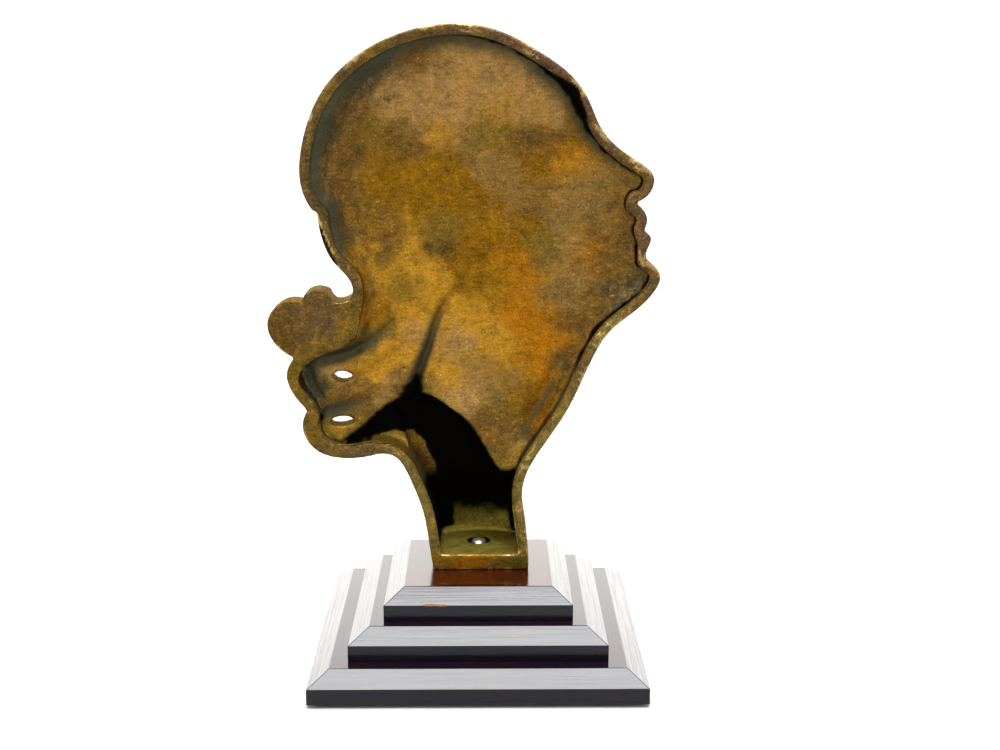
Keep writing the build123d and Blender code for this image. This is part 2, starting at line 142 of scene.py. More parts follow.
class Recipe:
    """One material's node tree, written as expressions."""

    def __init__(self, name: str) -> None:
        """Makes the material with an empty tree and its Object coordinates."""
        self.material = bpy.data.materials.new(name)
        self.material.use_nodes = True
        self.tree = self.material.node_tree
        self.tree.nodes.clear()
        self.place = self.node("ShaderNodeTexCoord").outputs["Object"]

    def node(self, kind: str, settings: dict[str, Any] | None = None,
             inputs: dict[Any, Any] | None = None) -> Any:
        """Adds a node: its settings first, then its sockets.

        Args:
            kind: the node's type.
            settings: attributes of the node, with a ramp's stops as "stops".
            inputs: sockets by name or index, each a number, a colour, a Value or a socket.

        Returns:
            The node.
        """
        made = self.tree.nodes.new(kind)
        for name, setting in (settings or {}).items():
            if name == "stops":
                self._set_stops(made.color_ramp, setting)
            else:
                setattr(made, name, setting)
        for name, given in (inputs or {}).items():
            socket = made.inputs[name]
            if isinstance(given, Value):
                self.tree.links.new(given.socket, socket)
            elif isinstance(given, Link):
                self.tree.links.new(given, socket)
            else:
                socket.default_value = given
        return made

    @staticmethod
    def _set_stops(ramp: bpy.types.ColorRamp, stops: Sequence[tuple[float, Colour]]) -> None:
        """Lays a ramp's stops.

        Args:
            ramp: the ramp.
            stops: positions and colours, in order.
        """
        while len(ramp.elements) > 1:
            ramp.elements.remove(ramp.elements[-1])
        for index, (at, colour) in enumerate(stops):
            element = ramp.elements[0] if index == 0 else ramp.elements.new(at)
            element.position = at
            element.color = (*colour, 1.0)

    def number(self, kind: str, settings: dict[str, Any], inputs: dict[Any, Any]) -> Value:
        """A node's first output as a value."""
        return Value(self, self.node(kind, settings, inputs).outputs[0])

    def attribute(self, name: str) -> Value:
        """A number stored on the mesh's points."""
        return Value(self, self.node("ShaderNodeAttribute", {"attribute_name": name}).outputs["Fac"])

    def stored_colour(self, name: str) -> Link:
        """A colour stored on the mesh's points."""
        return self.node("ShaderNodeAttribute", {"attribute_name": name}).outputs["Color"]

    def along(self, axis: str) -> Value:
        """One of the object's own coordinates, in millimetres."""
        parts = self.node("ShaderNodeSeparateXYZ", None, {0: self.place})
        return Value(self, parts.outputs[axis]) * (1 / MM)

    def grey(self, level: Value) -> Link:
        """A level as a grey."""
        return self.ramp(level, [(0.0, (0, 0, 0)), (1.0, (1, 1, 1))])

    def moved(self, scale: Spot | Sequence[float], turn: Sequence[float] = (0, 0, 0)) -> Link:
        """Object coordinates, stretched and turned.

        Args:
            scale: along X, Y and Z.
            turn: about X, Y and Z, in radians.

        Returns:
            The mapped coordinates.
        """
        inputs = {"Vector": self.place, "Scale": scale, "Rotation": turn}
        return self.node("ShaderNodeMapping", None, inputs).outputs[0]

    def noise(self, size: float, detail: float = 3.0, rough: float = 0.55, place: Any = None,
              warp: float = 0.0) -> Value:
        """Cloudy noise from 0 to 1.

        Args:
            size: of a cloud, in millimetres.
            detail: octaves.
            rough: strength of the finer octaves.
            place: coordinates, or the object's own.
            warp: distortion.

        Returns:
            The noise.
        """
        inputs = {"Vector": place or self.place, "Scale": 1 / (size * MM), "Detail": detail,
                  "Roughness": rough, "Distortion": warp}
        return self.number("ShaderNodeTexNoise", {}, inputs)

    def cells(self, size: float) -> Value:
        """Distance to scattered points a size apart, in millimetres, about 0 to 1: for pits and specks."""
        return self.number("ShaderNodeTexVoronoi", {}, {"Vector": self.place, "Scale": 1 / (size * MM)})

    def mix(self, share: Any, first: Any, second: Any, how: str = "MIX") -> Link:
        """Blends two colours.

        Args:
            share: of the second, a number or a Value.
            first: a colour or a socket.
            second: a colour or a socket.
            how: the Mix node's blend type.

        Returns:
            The blended colour.
        """
        made = self.node("ShaderNodeMix", {"data_type": "RGBA", "blend_type": how})
        ends = {6: first, 7: second}
        for index, given in ends.items():
            if isinstance(given, Link):
                self.tree.links.new(given, made.inputs[index])
            else:
                made.inputs[index].default_value = (*given, 1.0)
        if isinstance(share, Value):
            self.tree.links.new(share.socket, made.inputs[0])
        else:
            made.inputs[0].default_value = share
        return made.outputs[2]

    def ramp(self, level: Value, stops: Sequence[tuple[float, Colour]]) -> Link:
        """A colour chosen by a level."""
        return self.node("ShaderNodeValToRGB", {"stops": stops}, {0: level}).outputs[0]

    def bump(self, height: Value, depth: float, under: Any = None) -> Link:
        """Surface relief from a height.

        Args:
            height: the height, 0 to 1.
            depth: what 1 stands for, in millimetres.
            under: a normal that this one lies on.

        Returns:
            The normal.
        """
        inputs = {"Height": height, "Distance": depth * MM, "Strength": 1.0}
        if under is not None:
            inputs["Normal"] = under
        return self.node("ShaderNodeBump", None, inputs).outputs[0]

    def finish(self, **sockets: Any) -> bpy.types.Material:
        """Ends the tree in a Principled shader.

        Args:
            sockets: the shader's sockets, with underscores for spaces.

        Returns:
            The material.
        """
        inputs = {}
        for name, given in sockets.items():
            words = name.replace("_", " ")
            inputs[words] = (*given, 1.0) if isinstance(given, tuple) and len(given) == 3 else given
        shader = self.node("ShaderNodeBsdfPrincipled", None, inputs)
        output = self.node("ShaderNodeOutputMaterial")
        self.tree.links.new(shader.outputs[0], output.inputs[0])
        return self.material


# ------------------------------------------------------------------------------------------ finishes


class Tone(Enum):
    """What the bronze has turned to, place by place."""

    GOLD = (0.42, 0.21, 0.016)
    OCHRE = (0.2, 0.093, 0.004)
    TAN = (0.32, 0.185, 0.058)
    ORANGE = (0.34, 0.128, 0.004)
    BROWN = (0.125, 0.067, 0.0155)
    ROSE = (0.215, 0.125, 0.034)
    OLIVE = (0.15, 0.094, 0.014)
    # SLATE and UMBER also serve as painted shade: in the hollow's corners, along its walls and under its rim.
    SLATE = (0.047, 0.048, 0.027)
    UMBER = (0.04, 0.024, 0.009)
    DUN = (0.115, 0.073, 0.029)
    PLUM = (0.115, 0.066, 0.042)
    STRAW = (0.19, 0.143, 0.036)
    MOSS = (0.36, 0.3, 0.055)


@dataclass(frozen=True)
class BronzePatina:
    """Old cast bronze: golden where it is rubbed, olive and brown with age, slate in its recesses as patina
    and painted shade, and black, as painted shade, in the deepest of them.
    """

    black: Colour = (0.0012, 0.0012, 0.0009)
    bright: Colour = (0.6, 0.42, 0.16)

    def material(self) -> bpy.types.Material:
        """Builds the patina and its painted shade from the casting's stored tones, recesses and black shade.
        """
        r = Recipe("aged_bronze")
        rim, recess_patina_and_shade = r.attribute("rim"), r.attribute("recess_patina_and_shade")
        wear, black_shade = r.attribute("wear"), r.attribute("black_shade")
        cloud = r.noise(8, 4, 0.6, warp=0.4)
        mottle = r.noise(2.6, 5, 0.7, warp=0.5)
        brushed = r.noise(1.1, 4, 0.7, r.moved((0.45, 1.0, 1.3), (0, 0.35, 0)))
        grain = r.noise(0.5, 3, 0.75)
        colour = r.stored_colour("tint")
        colour = r.mix((mottle * 1.2 + cloud - 0.9).step(0.15, 0.5) * 0.4, colour, Tone.OCHRE.value)
        colour = r.mix((r.noise(3.4, 4, 0.7) + grain * 0.4).step(0.7, 0.9) * 0.5, colour, Tone.BROWN.value)
        colour = r.mix(rim * (grain + mottle * 0.6).step(0.92, 1.12) * 0.45, colour, (0.3, 0.215, 0.09))
        # Painted highlights: small bright gold flecks that stand in for glints.
        glint_flecks = (grain * 0.8 + brushed * 0.5).step(0.72, 0.86) * mottle.step(0.35, 0.6) * (1 - rim * 0.5)
        colour = r.mix(glint_flecks * 0.5, colour, Tone.GOLD.value)
        level = 0.5 + (mottle - 0.5) * 0.75 + (brushed - 0.5) * 0.6
        level = level + (grain - 0.5) * 1.1 + (cloud - 0.5) * 0.45
        colour = r.mix(1.0, colour, r.grey(level), "OVERLAY")
        # Slate in the recesses: patina in the hollows, and painted shade on the walls, under the rim and
        # beside the grooves.
        colour = r.mix((recess_patina_and_shade * (mottle * 0.8 + 0.6)).step(0.08, 0.95) * 0.9, colour, Tone.SLATE.value)
        specks = (1 - r.cells(2.1)).step(0.87, 0.97) * cloud.step(0.42, 0.62)
        colour = r.mix(specks * 0.75, colour, Tone.UMBER.value)
        # Painted shade: black in the neck's pocket, under the rim and in the curls' corners, and a black ring
        # round the bolt's hole.
        colour = r.mix((black_shade * 1.3 + mottle * 0.35 - 0.25).step(0.12, 0.7), colour, self.black)
        rubbed = (wear * (0.25 + grain * 0.7 + mottle * 0.6)).step(0.42, 0.8) * (1 - black_shade)
        colour = r.mix(rubbed * 0.6, colour, self.bright)
        rough = 0.52 + (mottle - 0.5) * 0.3 - rubbed * 0.2 + recess_patina_and_shade * 0.12 + black_shade * 0.2
        pits = (1 - r.cells(1.3)).step(0.82, 1.0) * 0.5
        normal = r.bump(grain * 0.6 + brushed * 0.6 - pits, 0.16)
        normal = r.bump(mottle, 0.4, normal)
        strands = r.attribute("strand") + r.noise(7, 2, 0.5) * 1.5
        normal = r.bump((strands.wave() + (strands * 0.43).wave()) * r.attribute("comb"), 0.11, normal)
        return r.finish(Base_Color=colour, Metallic=0.92, Roughness=rough, Normal=normal,
                        Specular_Tint=(0.62, 0.47, 0.24))


@dataclass(frozen=True)
class EbonisedLacquer:
    """Black-stained hardwood under glossy lacquer, with the grain just seen and worn edges."""

    # Black stain with a painted blue reflection, as the lacquered front faces show.
    stain_and_blue_reflection: Colour = (0.0003, 0.0012, 0.006)
    maroon: Colour = (0.006, 0.0012, 0.0012)
    # Painted reflection: the bronze foot's maroon and a warm tint on the flats.
    warm_reflection: Colour = (0.022, 0.0012, 0.0006)
    raw: Colour = (0.11, 0.035, 0.01)
    split: Colour = (0.22, 0.085, 0.025)
    chips: tuple[tuple[float, float, float, float], ...] = (
        (-14.8, -29.1, 24.1, 2.4), (-11.2, -29.1, 23.95, 1.6), (27.6, -20.0, 24.6, 0.5),
    )

    def material(self) -> bpy.types.Material:
        """Builds the lacquered wood, whose rubbing marks run along each side of a tier."""
        r = Recipe("ebonised_lacquer")
        x, y, z = r.along("X"), r.along("Y"), r.along("Z")
        sides = (abs(x) - abs(y)).step(-0.05, 0.05)
        grain = self._both(r, sides, 1.6, 5, 0.07)
        streak = self._both(r, sides, 0.4, 3, 0.012)
        hair = self._both(r, sides, 0.16, 2, 0.01)
        cloud = r.noise(14, 3, 0.5)
        # Grain between the blue-black, with its painted reflection, and maroon.
        colour = r.mix(grain.step(0.42, 0.7), self.stain_and_blue_reflection, self.maroon)
        torn = r.noise(0.9, 4, 0.7) * 0.5 - 0.25
        chip = None
        for cx, cy, cz, length in self.chips:
            away = ((x - cx) / length) ** 2 + ((y - cy) / 0.7) ** 2 + ((z - cz) / 0.33) ** 2
            shape = (away + torn * 2.6).step(1.15, 0.85)
            chip = shape if chip is None else chip.higher(shape)
        flat = self._flat(r)
        # Painted reflection: the flats warmed a little, and most on the top flat round the bronze foot.
        colour = r.mix(flat * (0.15 + 0.75 * z.step(27.0, 27.5)), colour, self.warm_reflection)
        colour = r.mix(chip, colour, r.mix(r.noise(0.5).step(0.35, 0.65), self.raw, self.split))
        scuffed = (streak.step(0.35, 0.72) * 0.16 + hair.step(0.4, 0.7) * 0.06) * (1 - flat * 0.6)
        rough = 0.1 + scuffed + chip * 0.5
        normal = r.bump((streak * 0.6 + hair * 0.3 + grain * 0.4) * (1 - flat * 0.7), 0.015)
        normal = r.bump(cloud, 0.02, normal)
        return r.finish(Base_Color=colour, Metallic=0.0, Roughness=rough, Normal=normal, IOR=1.37)

    @staticmethod
    def _flat(r: Recipe) -> Value:
        """1 on the level tops, which were polished more than the mouldings and carry the painted warm
        reflection.
        """
        facing = r.node("ShaderNodeNewGeometry").outputs["True Normal"]
        return Value(r, r.node("ShaderNodeSeparateXYZ", None, {0: facing}).outputs["Z"]).step(0.9, 0.97)

    @staticmethod
    def _both(r: Recipe, sides: Value, size: float, detail: float, along: float) -> Value:
        """Noise drawn out along a tier's front and back in X, and along its sides in Y.

        Args:
            r: the recipe.
            sides: 1 on the left and right sides.
            size: of the noise across its run, in millimetres.
            detail: octaves.
            along: how much the run is drawn out, as a scale.

        Returns:
            The drawn-out noise.
        """
        front = r.noise(size, detail, 0.6, r.moved((along, 1.0, 1.0)))
        side = r.noise(size, detail, 0.6, r.moved((1.0, along, 1.0)))
        return front * (1 - sides) + side * sides


@dataclass(frozen=True)
class TurnedSteel:
    """Turned or plated steel with fine tool marks."""

    name: str = "plated_steel"
    light: Colour = (0.62, 0.6, 0.56)
    dark: Colour = (0.3, 0.28, 0.25)
    rough: float = 0.25

    def material(self) -> bpy.types.Material:
        """Builds the steel."""
        r = Recipe(self.name)
        marks = r.noise(0.3, 3, 0.6, r.moved((1, 1, 6)))
        dull = r.noise(1.8, 4, 0.6)
        colour = r.mix(dull.step(0.4, 0.7), self.light, self.dark)
        return r.finish(Base_Color=colour, Metallic=1.0, Roughness=self.rough + dull * 0.2,
                        Normal=r.bump(marks, 0.01))


@dataclass(frozen=True)
class WoolFelt:
    """Dense pressed wool."""

    deep: Colour = (0.008, 0.05, 0.02)
    light: Colour = (0.03, 0.13, 0.055)

    def material(self) -> bpy.types.Material:
        """Builds the felt from two crossing layers of fibre."""
        r = Recipe("wool_felt")
        one = r.noise(0.35, 4, 0.7, r.moved((1, 0.25, 1), (0, 0, 0.6)), 1.5)
        two = r.noise(0.35, 4, 0.7, r.moved((0.25, 1, 1), (0, 0, 0.2)), 1.5)
        lint = r.noise(6, 3, 0.6)
        fibre = one.higher(two)
        colour = r.mix((fibre * 0.8 + lint * 0.4).step(0.45, 0.85), self.deep, self.light)
        return r.finish(Base_Color=colour, Roughness=0.95, Normal=r.bump(fibre, 0.12), Sheen_Weight=0.4)


# ------------------------------------------------------------------------------------------ modelling


def pick_only(piece: Piece) -> None:
    """Deselects everything, then selects one piece and makes it active."""
    bpy.ops.object.select_all(action="DESELECT")
    piece.select_set(True)
    bpy.context.view_layer.objects.active = piece


def named_primitive(name: str) -> Piece:
    """Names the primitive just added and selects it alone.

    Args:
        name: the piece's name.

    Returns:
        The piece.
    """
    piece = bpy.context.view_layer.objects.active
    piece.name = name
    piece.data.name = name
    pick_only(piece)
    return piece


def apply_modifier(piece: Piece, kind: str, **settings: Any) -> None:
    """Adds one modifier to a piece and applies it.

    Args:
        piece: the piece.
        kind: the modifier's type.
        settings: its settings.
    """
    pick_only(piece)
    modifier = piece.modifiers.new(kind.lower(), kind)
    for name, setting in settings.items():
        setattr(modifier, name, setting)
    bpy.ops.object.modifier_apply(modifier=modifier.name)


def settle(piece: Piece) -> None:
    """Moves a piece's place into its mesh, so its object sits at the origin."""
    pick_only(piece)
    bpy.ops.object.transform_apply(location=True, rotation=True, scale=True)


def dress(piece: Piece, material: bpy.types.Material) -> None:
    """Gives a piece one material."""
    piece.data.materials.clear()
    piece.data.materials.append(material)


def copy_of_node(node: str, name: str) -> Piece:
    """A copy of a CAD node's mesh as a new piece, its doubled points merged.

    Args:
        node: the CAD node.
        name: the new piece's name.

    Returns:
        The piece.
    """
    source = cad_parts[node]
    piece = bpy.data.objects.new(name, source.data.copy())
    piece.data.name = name
    bpy.context.scene.collection.objects.link(piece)
    pick_only(piece)
    bpy.ops.object.mode_set(mode="EDIT")
    bpy.ops.mesh.select_all(action="SELECT")
    bpy.ops.mesh.remove_doubles(threshold=WELD)
    bpy.ops.object.mode_set(mode="OBJECT")
    if piece.data.has_custom_normals:
        bpy.ops.mesh.customdata_custom_splitnormals_clear()
    return piece


def points_of(piece: Piece) -> Array:
    """A piece's points, one row each, in metres."""
    flat = np.empty(len(piece.data.vertices) * 3, np.float64)
    piece.data.vertices.foreach_get("co", flat)
    return flat.reshape(-1, 3)


def normals_of(piece: Piece) -> Array:
    """The normals at a piece's points, one row each."""
    flat = np.empty(len(piece.data.vertices) * 3, np.float64)
    piece.data.vertices.foreach_get("normal", flat)
    return flat.reshape(-1, 3)


def store(piece: Piece, name: str, values: Array) -> None:
    """Stores a number on each point of a piece.

    Args:
        piece: the piece.
        name: the attribute's name.
        values: one number a point.
    """
    attribute = piece.data.attributes.new(name, "FLOAT", "POINT")
    attribute.data.foreach_set("value", values.astype(np.float32))


def smooth_step(values: Array, low: float, high: float) -> Array:
    """A smooth rise from 0 at low to 1 at high, which may be the lower of the two."""
    t = np.clip((values - low) / (high - low), 0, 1)
    return t * t * (3 - 2 * t)


def spread(piece: Piece, values: Array, rounds: int) -> Array:
    """Averages a number over each point's neighbours.

    Args:
        piece: the piece.
        values: one number, or one row, a point.
        rounds: how often.

    Returns:
        The averaged numbers.
    """
    edges = np.empty(len(piece.data.edges) * 2, np.int64)
    piece.data.edges.foreach_get("vertices", edges)
    a, b = edges[0::2], edges[1::2]
    count = np.bincount(edges, minlength=len(values)).astype(float) + 1
    out = values.astype(float)
    columns = out.reshape(len(out), -1)
    for _ in range(rounds):
        total = columns.copy()
        for c in range(columns.shape[1]):
            total[:, c] += np.bincount(a, columns[b, c], len(out)) + np.bincount(b, columns[a, c], len(out))
        columns = total / count[:, None]
    return columns.reshape(out.shape)


class Stroke:
    """A sculptor's stroke: a smooth line over the casting's drawing, x towards the face and v up."""

    def __init__(self, *spots: Spot) -> None:
        """Draws the line through a few points, in millimetres."""
        self.spots = self._rounded(np.array(spots, float))

    @staticmethod
    def _rounded(spots: Array) -> Array:
        """The line with its corners rounded.

        Args:
            spots: the points.

        Returns:
            Closer points along a Catmull-Rom curve through them.
        """
        if len(spots) < 3:
            return spots
        ends = np.vstack([2 * spots[0] - spots[1], spots, 2 * spots[-1] - spots[-2]])
        t = np.linspace(0, 1, 8, endpoint=False)[:, None]
        runs = []
        for p0, p1, p2, p3 in zip(ends, ends[1:], ends[2:], ends[3:]):
            runs.append(0.5 * (2 * p1 + (p2 - p0) * t + (2 * p0 - 5 * p1 + 4 * p2 - p3) * t**2
                               + (3 * p1 - p0 - 3 * p2 + p3) * t**3))
        return np.vstack([*runs, spots[-1:]])

    def measure(self, x: Array, v: Array) -> tuple[Array, Array, Array]:
        """Where points lie beside the stroke.

        Args:
            x: across the drawing.
            v: up the drawing.

        Returns:
            Distance, side (positive to the left of the stroke's run), and share of its length.
        """
        best = np.full(x.shape, 1e9)
        offset = np.zeros(x.shape)
        along = np.zeros(x.shape)
        total = len(self.spots) - 1
        for index, (a, b) in enumerate(zip(self.spots, self.spots[1:])):
            run = b - a
            t = np.clip(((x - a[0]) * run[0] + (v - a[1]) * run[1]) / (run @ run), 0, 1)
            dx, dv = x - a[0] - t * run[0], v - a[1] - t * run[1]
            d = np.hypot(dx, dv)
            across = (run[0] * dv - run[1] * dx) / np.hypot(*run)
            nearer = (d < best - 1e-6) | ((d < best + 1e-6) & (np.abs(across) > np.abs(offset)))
            best = np.where(nearer, d, best)
            offset = np.where(nearer, across, offset)
            along = np.where(nearer, (index + t) / total, along)
        return best, np.where(offset < 0, -1.0, 1.0), along


@dataclass(frozen=True)
class Touch:
    """A soft round touch of the sculptor or of age: its middle, its reach and its strength."""

    x: float
    v: float
    reach: float
    strength: float

    def over(self, x: Array, v: Array) -> Array:
        """The touch's strength over points of the drawing."""
        return self.strength * np.exp(-(((x - self.x) / self.reach) ** 2 + ((v - self.v) / self.reach) ** 2))


def touches(*rows: Sequence[float]) -> tuple[Touch, ...]:
    """Touches from rows of x, v, reach and strength."""
    return tuple(Touch(*row) for row in rows)


# ------------------------------------------------------------------------------------------ the casting

HEAD_TILT = radians(24)
FACE_THIRD = 104 / 3.5
FACE_LINE = 91
CHIN_HEIGHT = 59


def on_face(forward: float, up: float) -> Spot:
    """The drawing's spot for thirds of the face forward of the face line and up from the chin."""
    along, height = FACE_LINE + forward * FACE_THIRD, CHIN_HEIGHT + up * FACE_THIRD
    across, upright = cos(HEAD_TILT), sin(HEAD_TILT)
    return (along * across - height * upright, along * upright + height * across)


@dataclass(frozen=True)
class Mark:
    """A long mark in the metal: its line, its width and its height, negative where it is cut away.

    It may be stronger at one end, and wider on its left, seen along its run.
    """

    line: tuple[Spot, ...]
    width: float
    height: float
    ends: Spot = (1.0, 1.0)
    left: float = 1.0

    def over(self, x: Array, v: Array) -> Array:
        """The mark's height over points of the drawing."""
        distance, side, along = Stroke(*self.line).measure(x, v)
        width = np.where(side > 0, self.width * self.left, self.width)
        strength = self.ends[0] + (self.ends[1] - self.ends[0]) * along
        return self.height * strength * np.exp(-(distance / width) ** 2)


@dataclass(frozen=True)
class Patch:
    """A patch of one tone: its middle, its reach and how strongly it shows."""

    tone: Tone
    x: float
    v: float
    reach: float
    strength: float = 1.0

    def over(self, x: Array, v: Array) -> Array:
        """The patch's strength over points of the drawing."""
        return self.strength * np.exp(-((x - self.x) ** 2 + (v - self.v) ** 2) / self.reach ** 2)


def patches(tones: dict[Tone, Sequence[Sequence[float]]]) -> tuple[Patch, ...]:
    """Patches from each tone's rows of x, v, reach and, where it isn't 1, strength."""
    return tuple(Patch(tone, *row) for tone, rows in tones.items() for row in rows)


PLAIN_PARTING = ((-4.5, 91), (-8.8, 86), (-12, 79.5), (-14.3, 71.5), (-16.9, 63.4), (-19, 55))
PARTING = ((-2, 97), (-4.8, 91), (-9.4, 86), (-13, 79.5), (-15.6, 71.5), (-18.6, 63.4), (-20.6, 56))
UPPER_LOCK = ((-21, 90), (-23.5, 85), (-26.2, 79.6), (-32.6, 74.1), (-38.1, 71.3), (-45, 69.6), (-50, 68.8))
LOWER_LOCK = ((-27.5, 58.5), (-33, 54.8), (-41, 52.6), (-48, 51.3))
POCKET_LIP = ((-41, 43), (-36.3, 46.4), (-29.8, 52), (-24.4, 54.6), (-19.2, 55.9), (-14.8, 54.6), (-9.1, 51),
              (-4, 47), (0, 41.5), (3.7, 35.4), (7, 31), (14, 32))
POCKET_LEDGE = ((-44, 41.5), (-38, 42.6), (-30, 44.6), (-22, 44.2), (-17, 40), (-13.6, 33), (-11.6, 26),
                (-10.8, 18))
GROOVES = (PLAIN_PARTING, UPPER_LOCK[1:], LOWER_LOCK)
CURL_CORNER = ((-56.0, 67.5), (-57.4, 63), (-56.2, 58.5), (-53, 53.6), (-50, 49.6))
HAIRLINE = (on_face(0.2, 2.9), on_face(-0.3, 2.75), on_face(-0.8, 2.35), on_face(-1.15, 1.6),
            on_face(-1.5, 1.0), (-12, 80), (-24, 62), (-33, 30))
BURR = ((-49.2, 114), (-47.4, 109), (-45.2, 103.5), (-43, 98.5), (-41.3, 94), (-40.4, 90))


